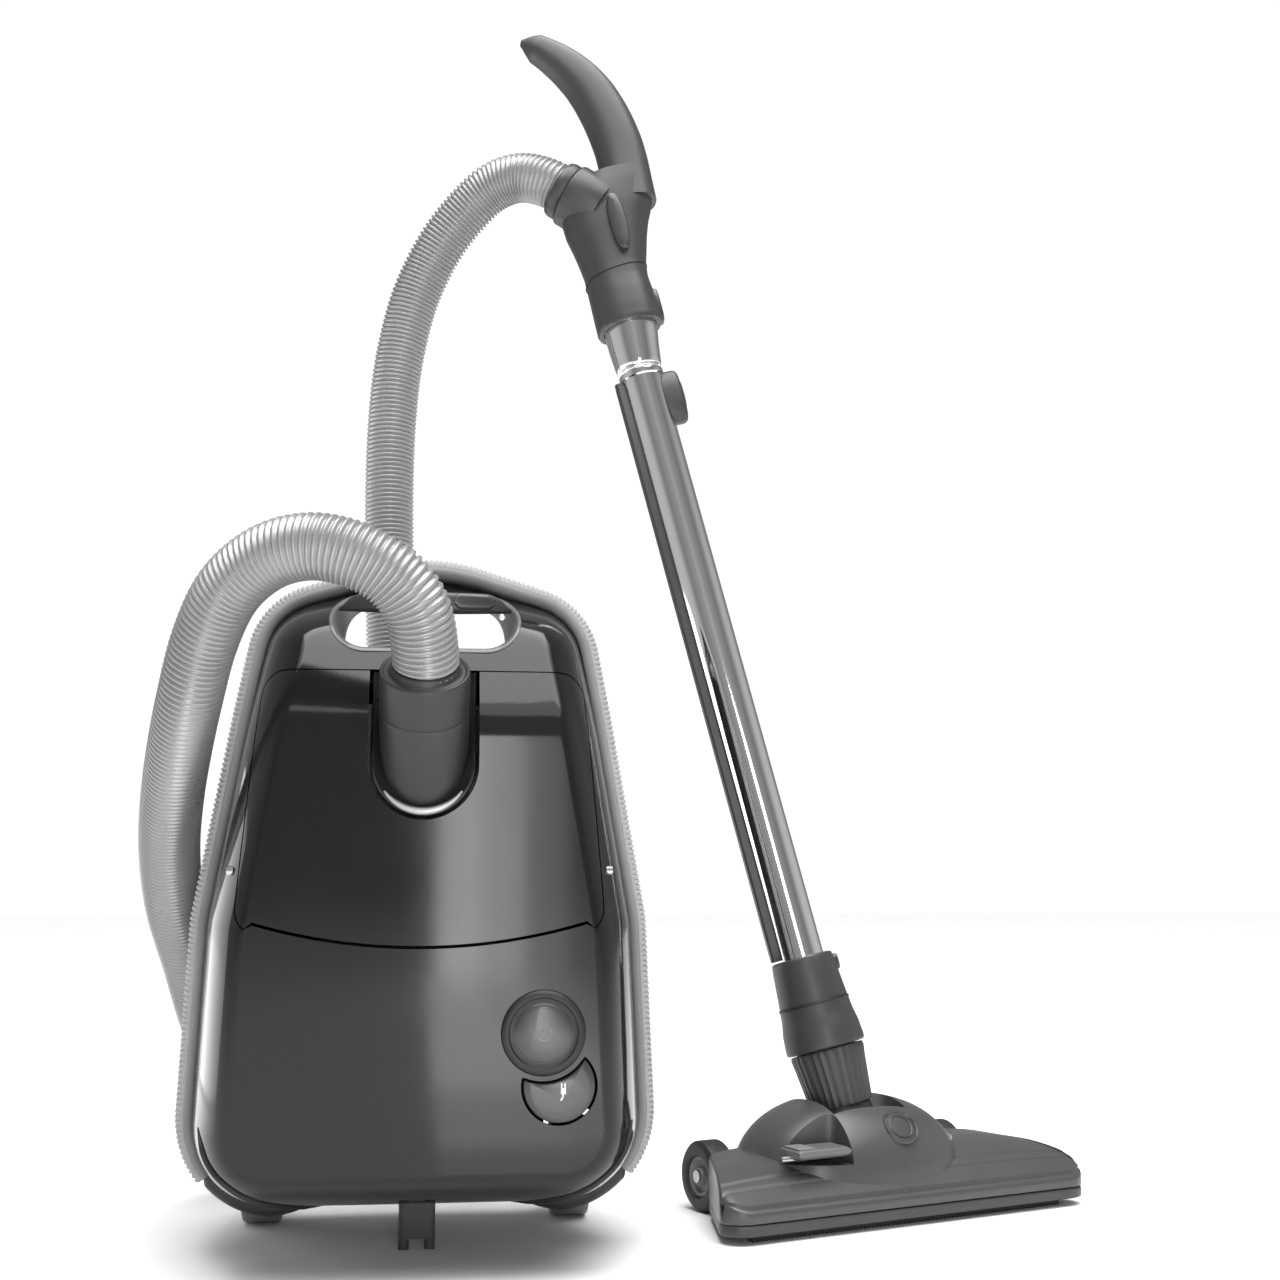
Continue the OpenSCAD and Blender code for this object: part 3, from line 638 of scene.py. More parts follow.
def across(cx, cy, cz, s=1.0):
    """Places a piece turned about Z so that its axis runs along X."""
    return lambda x, y, z: (cx + s * z, cy + x, cz + y)


def add_hidden_parts():
    """The lid's pin and the bulkhead, kept inside the shells."""
    ring = [(x, skin_y(x, 174) + 5, 174.0) for x in np.linspace(-112, 112, 41)]
    ring += [(x, skin_y(x, 174, False) - 5, 174.0) for x in np.linspace(112, -112, 41)]
    piece("bulkhead_plate", *loft([[(x, y, z + h) for x, y, z in ring] for h in (-2, 2)]), DARK,
        "bulkhead")
    pin = turned([(0.05, -108), (2.2, -108), (2.5, -107.6), (2.5, 107.6), (2.2, 108), (0.05, 108)], 24)
    piece("lid_pin_turned", *mapped(pin, across(0, -92, 225)), FINISHES["steel"], "lid_pin")


add_hidden_parts()


def add_foot_ridges():
    """Raised lines that run from the shell's sides round to the feet."""
    for s in (-1, 1):
        line, _ = smooth_path([(s * x, 0, z) for x, z in ((121, 84), (114, 66), (102, 54), (86, 44),
            (66, 36), (52, 33))], 2.0)
        path = [(p[0], skin_y(p[0], p[2]) - 0.2, p[2]) for p in line]
        radii = [0.3 + 1.5 * min(1.0, k / 6, (len(path) - 1 - k) / 6) for k in range(len(path))]
        piece(f"foot_ridge_{'left' if s < 0 else 'right'}", *tube_along(path, radii, 12), NEAR_BLACK,
            "upper_shell", angle=60.0)


add_foot_ridges()


def add_carry_handle():
    loops = []
    for r, push in [(22.2, 0.6), (21.6, -0.7), (20.2, -0.9), (19.0, 1.6), (18.6, 5.0)]:
        loops.append([(x, skin_y(x, z) + push, z) for x, z in carry_hole(r)])
    for r, push in [(18.6, -5.0), (19.0, -1.6), (20.2, 0.9), (21.6, 0.7), (22.2, -0.6)]:
        loops.append([(x, skin_y(x, z, False) + push, z) for x, z in carry_hole(r)])
    loops.append([(x, skin_y(x, z, False) - 5, z) for x, z in carry_hole(21.4)])
    loops.append([(x, skin_y(x, z) + 5, z) for x, z in carry_hole(21.4)])
    piece("hole_bezel", *loft(loops, around=True), PEDAL_GREY, "handle_bezel", angle=50.0)
    rings = []
    for x in np.linspace(-51, 51, 61):
        top = 371 + 18.3 * (1 if abs(x) < 34 else sqrt(max(0.0, 1 - ((abs(x) - 34) / 18.4) ** 2)))
        low = 376.5 + 1.6 * (abs(x) / 50) ** 2
        top = max(top, low + 0.5)
        front = skin_y(x, 380) + 5
        back = -46.0
        my, mz, a, b = (front + back) / 2, (top + low) / 2, (back - front) / 2, (top - low) / 2
        rings.append([(x, my + u, mz + v) for u, v in squircle(a, b, 32, 3.2)])
    piece("carry_bar", *loft(rings), DARK, "carry_handle", angle=50.0)
    insert = []
    for x in np.linspace(17, 40, 25):
        end = min(1.0, (x - 16.5) / 3, (40.5 - x) / 3) ** 0.5
        top = 371 + 18.3 * (1 if x < 34 else sqrt(max(0.0, 1 - ((x - 34) / 18.4) ** 2)))
        insert.append([(x, skin_y(x, 380) + 6.5 + u, (top + 378) / 2 + v * end) for u,
            v in squircle(3.0, (top - 379.5) / 2, 24, 3.0)])
    piece("carry_bar_insert", *loft(insert), BUTTON, "carry_handle", angle=50.0)
    piece("carry_bar_stud", *mapped(turned([(0.1, 0), (2.3, 0), (2.3, 2.2), (1.6, 3.0), (0.1, 3.1)],
        24), lambda x, y, z: (44.5 + x, skin_y(44, 372) + 4 - z, 372.5 + y)), SILVER, "carry_handle")


add_carry_handle()


# Inlet, connector and indicator -----------------------------------------------------------

TILT = radians(36.0)


def inlet(x, y, z):
    """A point in the slanted inlet's own frame."""
    return (x, -110 + y * cos(TILT) - z * sin(TILT),
        305 + y * sin(TILT) + z * cos(TILT))


def add_inlet():
    bore = tool(*mapped(turned([(25.15, -48), (25.15, 100)], 72), inlet))
    outer, rings = notch_outline(-1.8), []
    cx, cz = 0.0, 300.0
    for f, push in [(1.0, 14.0), (1.0, 1.4), (0.985, 0.4), (0.95, 0.0), (0.9, 0.9), (0.75, 4.5),
            (0.5, 7.0), (0.25, 8.0)]:
        ring = []
        for x, z in outer:
            qx, qz = cx + (x - cx) * f, cz + (z - cz) * f
            ring.append((qx, skin_y(qx, min(qz, 336.0)) + push, min(qz, 337.0)))
        rings.append(ring)
    back = [(x * 0.99, -70.0, z) for x, z in outer]
    piece("inlet_saddle_skin", *loft([back] + rings), GLOSS, "inlet_saddle", cut_by=(bore,), angle=35.0)
    scrap(bore)
    arc = []
    for t in np.linspace(radians(215), radians(325), 25):
        arc.append((26.2 * cos(t), 284 + 26.2 * sin(t)))
    radii = [0.6 + 1.7 * sin(pi * i / 24) for i in range(25)]
    piece("indicator_strip", *tube_along([(x, skin_y(x, z) - 0.4, z) for x, z in arc], radii, 12),
        SILVER, "bag_indicator", angle=60.0)
    profile = [(18.0, 40.0), (18.6, 39.6), (19.6, 36.4), (22.0, 35.2), (23.6, 36.6), (24.8, 36.0),
        (25.0, 34.8), (25.0, 12), (24.6, 10.8), (25.0, 9.6), (25.0, -38), (23.5, -43.5), (16.5, -44),
        (15.8, -43), (15.6, 22.4), (19.0, 23.2), (19.0, 34.0)]
    piece("connector_body", *mapped(turned(rounded(profile, 0.5, 2), 72), inlet), SOFT_GREY,
        "hose_connector", angle=32.0)


add_inlet()


# Knob and rewind button ---------------------------------------------------------------------

def facing(cx, cz, y0):
    """Places a piece turned about Z so that it faces the front at a point."""
    return lambda x, y, z: (cx + x, y0 - z, cz + y)


def add_controls():
    face = skin_y(*KNOB)
    ring = [(18.7, 1.0), (19.3, 1.7), (20.2, 1.9), (21.6, 1.7), (23.2, 0.6), (23.5, -0.6), (23.5, -16),
        (18.9, -16), (18.7, -12)]
    piece("knob_ring", *mapped(turned(rounded(ring, 0.3, 2) + [ring[0]], 96), facing(*KNOB, face)),
        NEAR_BLACK, "knob_bezel", angle=40.0)
    dome = [(4.0, -28.0), (4.0, -7.0), (17.9, -7.0), (17.9, -0.2), (17.2, 0.9), (16.2, 1.2)]
    dome += [(16.2 * cos(t), 1.2 + 2.0 * sin(t)) for t in np.linspace(0.1,
        pi / 2 - 0.02, 12)]
    piece("knob_disc", *mapped(turned(dome, 96), facing(*KNOB, face)), BUTTON,
        "power_knob", angle=40.0)
    mark = tube_along([(KNOB[0] + 4.2 * cos(t), face - 3.05,
        KNOB[1] + 4.2 * sin(t)) for t in np.linspace(radians(125), radians(415), 28)],
        0.42, 8)
    bar = tube_along([(KNOB[0], face - 3.25, KNOB[1] + h) for h in (0.8, 3.0, 5.4)], 0.42, 8)
    piece("knob_mark", *joined(mark, bar), WHEEL, "power_knob", angle=60.0)
    outline = leaf_outline(0.0)
    cx = sum(x for x, _ in outline) / len(outline)
    cz = sum(z for _, z in outline) / len(outline)
    rings = []
    for f, out in [(1.0, -9.0), (1.0, -0.6), (0.975, 0.5), (0.93, 1.2), (0.8, 1.5), (0.5, 1.7),
            (0.02, 1.8)]:
        rings.append([(cx + (x - cx) * f, skin_y(cx + (x - cx) * f, cz + (z - cz) * f) - out,
            cz + (z - cz) * f) for x, z in outline])
    piece("rewind_button_cap", *loft(rings), BUTTON, "rewind_button", angle=40.0)
    y = skin_y(79, 103) - 1.9
    plug = joined(tube_along([(77.6, y, 99.5), (78.6, y, 101.0), (79.0, y, 103.5)], 0.55, 8),
        tube_along([(79.0, y, 103.0), (79.0, y, 106.2)], 1.5, 12),
        tube_along([(78.1, y, 106.0), (78.1, y, 108.8)], 0.45, 8),
        tube_along([(79.9, y, 106.0), (79.9, y, 108.8)], 0.45, 8))
    piece("rewind_mark", *plug, PALE, "rewind_button", angle=60.0)


add_controls()


# Wheels, lug and castor -----------------------------------------------------------------------

def tyre_profile(r, width, hub, tread=1.2):
    w = width / 2
    return rounded([(hub, -w + 1), (r - 7, -w + 1), (r - 6.5, -w), (r - tread, -w), (r, -w + 2.5),
        (r, w - 2.5), (r - tread, w), (r - 6.5, w), (r - 7, w - 4), (hub + 4, w - 4), (hub + 3, w - 1),
        (hub, w - 1), (hub, -w + 1)], 0.8, 2)


def add_canister_wheels():
    for s, name in ((-1, "left"), (1, "right")):
        piece(f"rear_wheel_{name}_turned", *mapped(turned(tyre_profile(31.9, 24, 5.1), 72),
            across(s * 98, 88, 32, s)), WHEEL, f"rear_wheel_{name}", angle=35.0)
    piece("castor_wheel_turned", *mapped(turned(tyre_profile(16.9, 15.6, 3.1, 0.8), 56),
        across(0, 103, 296)), WHEEL, "castor_wheel", angle=35.0)
    rings = []
    for h, r in [(0.2, 29.0), (1.2, 30.0), (3.6, 30.0), (5.0, 28.6), (5.6, 26.0)]:
        rings.append([(r * cos(t), 76 + h, 308 + r * sin(t)) for t in np.linspace(0,
            2 * pi, 64, endpoint=False)])
    plate = loft([[(5.9 * cos(t), 72.2, 308 + 5.9 * sin(t)) for t in np.linspace(0,
        2 * pi, 64, endpoint=False)]] + rings)
    arms = []
    for s in (-1, 1):
        arm = [(296 + 9 * cos(t), 103 + 9 * sin(t)) for t in np.linspace(0, pi, 20)]
        arm += [(285, 81.5), (309, 81.5)]
        arms.append(loft([[(s * x, y, z) for z, y in arm] for x in (9.1, 9.6, 12.4, 12.9)]))
    piece("castor_fork_shaped", *joined(plate, *arms), DARK, "castor_fork", angle=40.0)
    lug = []
    for s in (-1, 1):
        lug.append(loft([[(s * 7.75 + u, v, z) for u, v in squircle(3.2, 5.9, 24, 5)] for z in (0.05,
            0.5, 5, 9)]))
    lug.append(loft([[(u, v, z) for u, v in squircle(10.9, 5.9, 48, 8)] for z in (6.2, 6.8, 30, 34)]))
    piece("parking_lug_shaped", *joined(*lug), DARK, "parking_lug", angle=40.0)
    lining = []
    cup = turned([(6.2, -3), (36.5, -3), (36.5, 0), (6.2, 0), (6.2, -3)], 64)
    lining.append(mapped(cup, lambda x, y, z: (x, 75 + z, 308 + y)))
    wall = turned([(34.0, 0), (36.0, 0), (36.0, 26), (34.0, 26), (34.0, 0)], 64)
    lining.append(mapped(wall, lambda x, y, z: (x, 75 + z, 308 + y)))
    piece("wheel_linings", *joined(*lining), DARK, "base_shell", angle=40.0)


add_canister_wheels()


# Wand -------------------------------------------------------------------------------------------

LEAN_LEFT, LEAN_BACK = radians(13.7), radians(8.0)
YAW = radians(22.0)


def wand(x, y, u):
    """A point in the tube's own frame, u along the tube."""
    y, z = (y * cos(LEAN_BACK) + u * sin(LEAN_BACK),
        -y * sin(LEAN_BACK) + u * cos(LEAN_BACK))
    return (286 + x * cos(LEAN_LEFT) - z * sin(LEAN_LEFT), 75 + y,
        45 + x * sin(LEAN_LEFT) + z * cos(LEAN_LEFT))


def head(x, y, z):
    """A point in the floor head's own frame."""
    return (286 + x * cos(YAW) - y * sin(YAW), 75 + x * sin(YAW) + y * cos(YAW), z)


def mouth(x, y, z):
    """A point in the frame of the hose's mouth, z out of the handle."""
    a = radians(44.0)
    return wand(-14 + x * cos(a) - z * sin(a), y, 712 + x * sin(a) + z * cos(a))


def bored(profile, bore):
    """Closes a turned profile with a straight bore."""
    return [(bore, profile[0][1])] + profile + [(bore, profile[-1][1]), (bore, profile[0][1])]


def add_tubes():
    outer = bored([(14.6, 100), (15.5, 100.4), (15.5, 556), (16.4, 557), (16.6, 559), (16.4, 561),
        (15.4, 561.8)], 14.05)
    piece("outer_tube_chrome", *mapped(turned(outer, 96), wand), CHROME, "outer_tube", angle=30.0)
    bell = [(14.0, 150.5), (14.0, 563.5), (16.4, 564.2), (17.1, 566.5), (17.4, 569), (19.0, 585),
        (19.9, 594), (20.0, 629)]
    piece("inner_tube_chrome", *mapped(turned(bored(rounded(bell, 3.0), 12.8), 96), lambda x, y,
        z: wand(x + 1.5 * min(1, max(0, (z - 575) / 20)), y, z)), CHROME, "inner_tube", angle=30.0)
    rings = []
    for u in [125.5, 126.2, 128, 552, 555.5, 556.4]:
        w = 4.6 if 127 < u < 554 else 3.6
        rings.append([wand(x, y, u) for x, y in [(-14.4, -w), (-19.4, -w), (-20.7, -w + 1.2),
            (-21.1, 0), (-20.7, w - 1.2), (-19.4, w), (-14.4, w), (-15.7, 0)]])
    piece("tube_rail_strip", *loft(rings), DARK, "tube_rail", angle=35.0)
    pad = pebble(20.5, 11.2, 9.0, 3.5, p=2.5)
    lock = []
    for v in pad[0]:
        lift = 16.0 + v[2] * 1.06
        lock.append((lift, v[1], 538 + v[0]))
    lock = [wand(max(x, 15.7) if x > 16.1 else sqrt(max(15.62 ** 2 - y * y, 0.1)), y, u) for x, y,
        u in lock]
    dish = pebble(12.0, 6.4, 2.4, 1.2, p=2.2)
    dish = ([wand(24.2 + v[2], v[1], 539 + v[0]) for v in dish[0]], dish[1])
    piece("slide_lock_pad", lock, pad[1], DARK, "slide_lock", angle=45.0)
    piece("slide_lock_button", *dish, BUTTON, "slide_lock", angle=45.0)


def add_socket():
    skirt = [(25.6, 62.2), (26.8, 63.0), (27.0, 66.0), (26.2, 76.0), (24.6, 84.0), (24.0, 91.0),
        (23.9, 92.4), (23.4, 93.0), (23.6, 94.0), (21.6, 118), (20.8, 123.4), (19.0, 124.0)]
    piece("socket_turned", *mapped(turned(bored(rounded(skirt, 1.5), 15.56), 80), wand), DARK,
        "tube_socket", angle=30.0)
    piece("socket_seam", *mapped(turned([(24.1, 91.4), (24.4, 92.0), (24.4, 92.8), (24.1, 93.4),
        (23, 92.4), (24.1, 91.4)], 80), wand), NEAR_BLACK, "tube_socket", angle=60.0)
    key = pebble(5.4, 4.8, 3.0, 1.2, p=3.0)
    piece("socket_latch_key", *([wand(20.9 + v[2], v[1], 116.1 + v[0]) for v in key[0]], key[1]),
        BUTTON, "socket_latch", angle=45.0)
    upper = mapped(turned([(15.2, 24), (20.6, 24), (21.6, 34), (23.6, 52), (24.6, 59.0), (24.0, 61.4),
        (19.0, 61.8), (18.9, 86), (15.2, 86), (15.2, 24)], 96, ribs=32, rib=0.5), wand)
    barrel = mapped(turned([(5.3, -24.8), (20.4, -24.8), (21.3, -23.5), (21.3, 23.5), (20.4, 24.8),
        (5.3, 24.8), (5.3, -24.8)], 72), lambda x, y, z: head(z, x, 34 + y))
    collar = []
    for z, r in [(40, 18.0), (48, 20.5), (58, 21.4), (66, 21.6), (72, 20.0)]:
        collar.append([head(r * cos(t) - 0.1 * (z - 34), r * sin(t) + 0.2 * (z - 34),
            z) for t in full_turn(64)])
    piece("neck_ribbed", *joined(upper, barrel, loft(collar)), DARK, "neck", angle=30.0)


# Centre across, centre along, half width and half thickness of the curved grip
GRIP = [(27.0, 697, 20.0, 18.5), (28.5, 712, 19.3, 17.5), (30.0, 730, 19.0, 16.5),
    (30.2, 745, 18.8, 16.0), (28.8, 760, 18.6, 15.6), (26.5, 774, 18.2, 15.2), (22.5, 790, 17.6, 14.6),
    (17.0, 804, 16.4, 14.0), (9.5, 817, 15.0, 13.0), (1.0, 828, 13.2, 12.0), (-7.0, 836.5, 11.4, 11.0),
    (-14.5, 843, 10.0, 10.0), (-21.5, 847.6, 8.6, 9.0)]


def grip_rings(count=70, grow=0.0):
    g = np.array(GRIP, float)
    run = np.r_[0, np.cumsum(np.hypot(np.diff(g[:, 0]), np.diff(g[:, 1])))]
    at = np.linspace(0, run[-1], count)
    line = [np.interp(at, run, g[:, k]) for k in range(4)]
    for _ in range(3):
        for k in range(4):
            v = line[k].copy()
            line[k][1:-1] = (v[:-2] + 2 * v[1:-1] + v[2:]) / 4
    rings = []
    for i in range(count):
        a, b = max(i - 1, 0), min(i + 1, count - 1)
        dx, du = line[0][b] - line[0][a], line[1][b] - line[1][a]
        n = hypot(dx, du)
        sx, su = du / n, -dx / n
        end = min(1.0, ((count - 1 - i) / 5) ** 0.5 if i > count - 6 else 1.0)
        w, t = (line[2][i] + grow) * max(end, 0.25), (line[3][i] + grow) * max(end, 0.35)
        rings.append([wand(line[0][i] + u * sx, v, line[1][i] + u * su) for u,
            v in squircle(w, t, 48, 2.5)])
    return rings


def add_handle():
    rings = grip_rings()
    piece("grip_swept", *loft(rings), DARK, "handle_grip", angle=60.0)
    # Body from the collar up to the hose's mouth: centre across, along, half width, half thickness
    rows = [(1.5, 597, 23.6, 23.2), (1.5, 599, 24.4, 23.8), (1.5, 610, 24.2, 23.6),
        (1.5, 622, 23.8, 22.8), (1.2, 634, 23.2, 21.6), (2.0, 645, 23.8, 21.0), (3.0, 656, 26.0, 20.8),
        (3.8, 668, 28.6, 20.8), (4.8, 680, 32.0, 20.8), (7.5, 692, 35.0, 20.6),
        (12.0, 702, 33.0, 20.0), (17.5, 712, 28.0, 19.2), (22.0, 722, 24.0, 18.0)]
    g = np.array(rows, float)
    at = np.linspace(597, 722, 64)
    rings = []
    for u in at:
        c, w, t = (np.interp(u, g[:, 1], g[:, k]) for k in (0, 2, 3))
        rings.append([wand(c + a, b, u) for a, b in squircle(w, t, 72, 2.4)])
    bore = tool(*mapped(turned([(20.3, 590), (20.3, 631), (15, 631.5), (15, 660)], 64), lambda x, y,
        z: wand(x + 1.5, y, z)))
    throat = tool(*mapped(turned([(16, -36), (16, -26.2), (20.7, -26), (20.7, 60)], 64), mouth))
    piece("handle_body_skin", *loft(rings), DARK, "handle_body", cut_by=(bore, throat), angle=40.0)
    sleeve = mapped(turned(rounded([(20.9, -24), (23.4, -24), (24.2, -6), (24.2, 1.5), (23.4, 3.2),
        (21.0, 3.4), (20.8, 2), (20.9, -24)], 0.8, 2), 72), mouth)
    piece("mouth_sleeve", *sleeve, DARK, "handle_body", angle=40.0)
    scrap(bore, throat)
    # Moulding line round the neck of the handle
    line = []
    for a, b in squircle(23.9, 21.5, 72, 2.4):
        line.append(wand(1.6 + a, b, 640 + 0.12 * a))
    piece("handle_seam", *tube_along(line, 0.45, 8, closed=True), NEAR_BLACK, "handle_body",
        angle=180.0)
    cuff = rounded([(16.1, -25.8), (20.4, -25.8), (20.4, 3.0), (22.0, 4.0), (22.2, 9), (21.0, 12.5),
        (19.6, 13.2), (19.2, 12.4), (19.1, -5), (16.1, -6.6), (16.1, -25.8)], 0.6, 2)
    piece("hose_cuff_turned", *mapped(turned(cuff, 72), mouth), DARK, "hose_cuff", angle=35.0)
    slider = pebble(23.0, 6.4, 4.4, 1.8, p=2.4)
    piece("air_slider_pad", *([wand(10 + v[1], -20.8 - v[2], 674 + v[0]) for v in slider[0]],
        slider[1]), BUTTON, "air_slider", angle=45.0)
    tab = pebble(13.6, 8.4, 5.2, 1.6, p=3.4)
    piece("release_tab_pad", *([wand(22.1 + v[2] * 1.1, v[1], 611 + v[0]) for v in tab[0]], tab[1]),
        BUTTON, "release_tab", angle=45.0)


add_tubes()
add_socket()
add_handle()


# Floor head --------------------------------------------------------------------------------------

HEAD_SHIFT, HEAD_W = 12.0, 284.0
HEAD_CIRCLES = [(HEAD_SHIFT + s * (HEAD_W / 2 - 15), -45.5, 14.5) for s in (-1, 1)]
HEAD_CIRCLES += [(HEAD_SHIFT + s * (HEAD_W / 2 - 42), 17, 11) for s in (-1, 1)]


def head_depths(x, inset=0.0):
    """Front and rear of the cover's outline at one place across it."""
    c = np.array(HEAD_CIRCLES)
    reaches = (c[:, :2] @ WAYS.T + (c[:, 2:] - inset)).max(axis=0)
    up = WAYS[:, 1] > 0.001
    down = WAYS[:, 1] < -0.001
    high = ((reaches[up] - WAYS[up, 0] * x) / WAYS[up, 1]).min()
    low = ((reaches[down] - WAYS[down, 0] * x) / WAYS[down, 1]).max()
    return float(low), float(high)


def wing_top(x, y):
    """Height of the wings: a lip at the front, rising to the back."""
    rise = min(1.0, max(0.0, (y + 60) / 60))
    z = 21.0 + 23.0 * (1 - (1 - rise) ** 1.9)
    fall = max(0.0, (abs(x - HEAD_SHIFT) - 60) / 82)
    z -= 9.0 * fall ** 2.0 * rise
    for line in (-43.0, -35.0):
        z -= 1.1 * exp(-((y - line) / 0.9) ** 2)
    return z


def head_section(x, end):
    """Closed section of the wings at one place across, end falling to 0 at the tips."""
    low, high = head_depths(x)
    drop = 5.0 * (1 - sqrt(max(0.0, 1 - (1 - end) ** 2)))
    ring = [(x, low + 1.5, 12.4), (x, low + 0.4, 13.0), (x, low, 14.0)]
    for t in np.linspace(0, pi / 2, 7)[:-1]:
        ring.append((x, low + 4 * (1 - cos(t)), wing_top(x, low) - 4 + 4 * sin(t) - drop))
    for y in list(np.linspace(-56, -33, 47)) + list(np.linspace(-32, 24, 22)):
        y = min(max(y, low + 4), high - 4)
        ring.append((x, y, wing_top(x, y) - drop))
    for t in np.linspace(0, pi / 2, 6):
        ring.append((x, high - 4 + 4 * sin(t), wing_top(x, high) - 4 + 4 * cos(t) - drop))
    return ring + [(x, high, 13.0), (x, high - 1.0, 12.4)]


def hump_top(x, y):
    """Height of the dome over the neck."""
    q = 1 - (abs(x + 2) / 78) ** 2.4 - (abs(y - 4) / 56) ** 2.4
    return 26 + 50 * q ** 0.5 if q > 0 else 0.0


def add_cover():
    half, rings = HEAD_W / 2 - 0.5, []
    for e in (0.05, 0.4, 1.0, 1.9, 3.0, 4.4, 6.0):
        rings.append(head_section(HEAD_SHIFT - half + e, min(1.0, e / 6)))
    rings += [head_section(x, 1.0) for x in np.linspace(HEAD_SHIFT - half + 9, HEAD_SHIFT + half - 9,
        90)]
    for e in (6.0, 4.4, 3.0, 1.9, 1.0, 0.4, 0.05):
        rings.append(head_section(HEAD_SHIFT + half - e, min(1.0, e / 6)))
    opening = tool(*mapped(loft([[(x, y, z) for x, y in ((-32, -25), (26, -25), (26, 95),
        (-32, 95))] for z in (16, 120)]), head))
    wells = [tool(*mapped(turned([(25.2, -12), (25.2, 12)], 48), lambda x, y, z,
        c=c: head(c + z, 46 + x, 23 + y))) for c in (-83, 107)]
    seat = tool(*mapped(loft([[(-54 + u, -36 + v, z) for u, v in squircle(22.5, 14.2, 40,
        6)] for z in (39.5, 110)]), head))
    piece("head_wings", *mapped(loft(rings), head), HEAD_GREY, "head_cover",
        cut_by=(opening, seat, wells[0], wells[1]), angle=32.0)
    n, dome = 128, []
    for k in range(1, 27):
        f = (k / 26) ** 0.5 if k < 26 else 1.0
        ring = []
        for t in full_turn(n):
            c, s = cos(t), sin(t)
            a = 78 * copysign(abs(c) ** (2 / 2.4), c) * f
            b = 56 * copysign(abs(s) ** (2 / 2.4), s) * f
            ring.append((a - 2, b + 4, max(26.0, hump_top(a - 2, b + 4))))
        dome.append(ring)
    dome.append([(x, y, 16.0) for x, y, _ in dome[-1]])
    piece("head_dome", *mapped(loft(dome), head), HEAD_GREY, "head_cover",
        cut_by=(opening, seat, wells[0], wells[1]), angle=32.0)
    scrap(*[opening, seat] + wells)
    # Plain round badge on the dome's front, and a silver catch on its right
    def badge(x, y, z, cx=10.0, cy=-40.0, tilt=atan2(hump_top(10, -39) - hump_top(10, -41), 2)):
        qx, qy = cx + x, cy + y * cos(tilt) - z * sin(tilt)
        qz = y * sin(tilt) + z * cos(tilt)
        return head(qx, qy, hump_top(cx, cy) + qz)
    rims = joined(turned([(10.0, -1.0), (11.0, 1.0), (11.6, 1.4), (12.2, 1.0), (12.6, -1.0),
        (10.0, -1.0)], 64), turned([(7.2, -1.0), (7.6, 0.8), (8.0, 1.0), (8.4, 0.8), (8.8, -1.0),
        (7.2, -1.0)], 64))
    piece("badge_rings", *mapped(rims, badge), BUTTON, "head_cover", angle=50.0)
    piece("badge_disc", *mapped(turned([(0.05, -3), (12.0, -3), (12.0, 0.1), (6.0, 0.5), (0.05, 0.6)],
        64), badge), DARK, "head_cover", angle=50.0)
    catch = pebble(9.0, 4.6, 4.2, 1.6, p=2.2)
    piece("head_catch", *([head(60 + v[0], -18 + v[1], wing_top(60,
        -18) + 1.5 + v[2]) for v in catch[0]], catch[1]), SILVER, "head_cover", angle=50.0)
    lip = []
    for x in [HEAD_SHIFT - half + e for e in (0.3, 1.0, 3.0,
            6.0)] + list(np.linspace(HEAD_SHIFT - half + 10, HEAD_SHIFT + half - 10,
            60)) + [HEAD_SHIFT + half - e for e in (6.0, 3.0, 1.0, 0.3)]:
        a, b = head_depths(x)
        lip.append([(x, y, z) for y, z in ((a + 2.0, 5.1), (a + 0.6, 5.7), (a + 0.3, 7.0),
            (a + 0.3, 11.0), (a + 1.2, 12.0), (b - 1.2, 12.0), (b - 0.3, 11.0), (b - 0.3, 7.0),
            (b - 0.6, 5.7), (b - 2.0, 5.1))])
    mouth_cut = tool(*mapped(loft([[(x, y, z) for x, y in ((-100, -34), (124, -34), (124, -16),
        (-100, -16))] for z in (0, 30)]), head))
    slots = [tool(*mapped(loft([[(x, y, z) for x, y in ((12 - h, y0), (12 + h, y0), (12 + h, y0 + 6),
        (12 - h, y0 + 6))] for z in (0, 30)]), head)) for y0, h in ((-50.5, 122.5), (-7.5, 102.5))]
    piece("sole_shaped", *mapped(loft(lip), head), DARK, "sole_plate", cut_by=[mouth_cut] + slots,
        angle=35.0)
    scrap(*[mouth_cut] + slots)
    piece("neck_posts", *joined(*[mapped(loft([[(s * x, u, 26.5 + v) for u,
        v in squircle(7.8, 15.2, 28, 4)] for x in (26.1, 26.8, 31.2, 31.9)]), head) for s in (-1, 1)]),
        DARK, "sole_plate", angle=45.0)


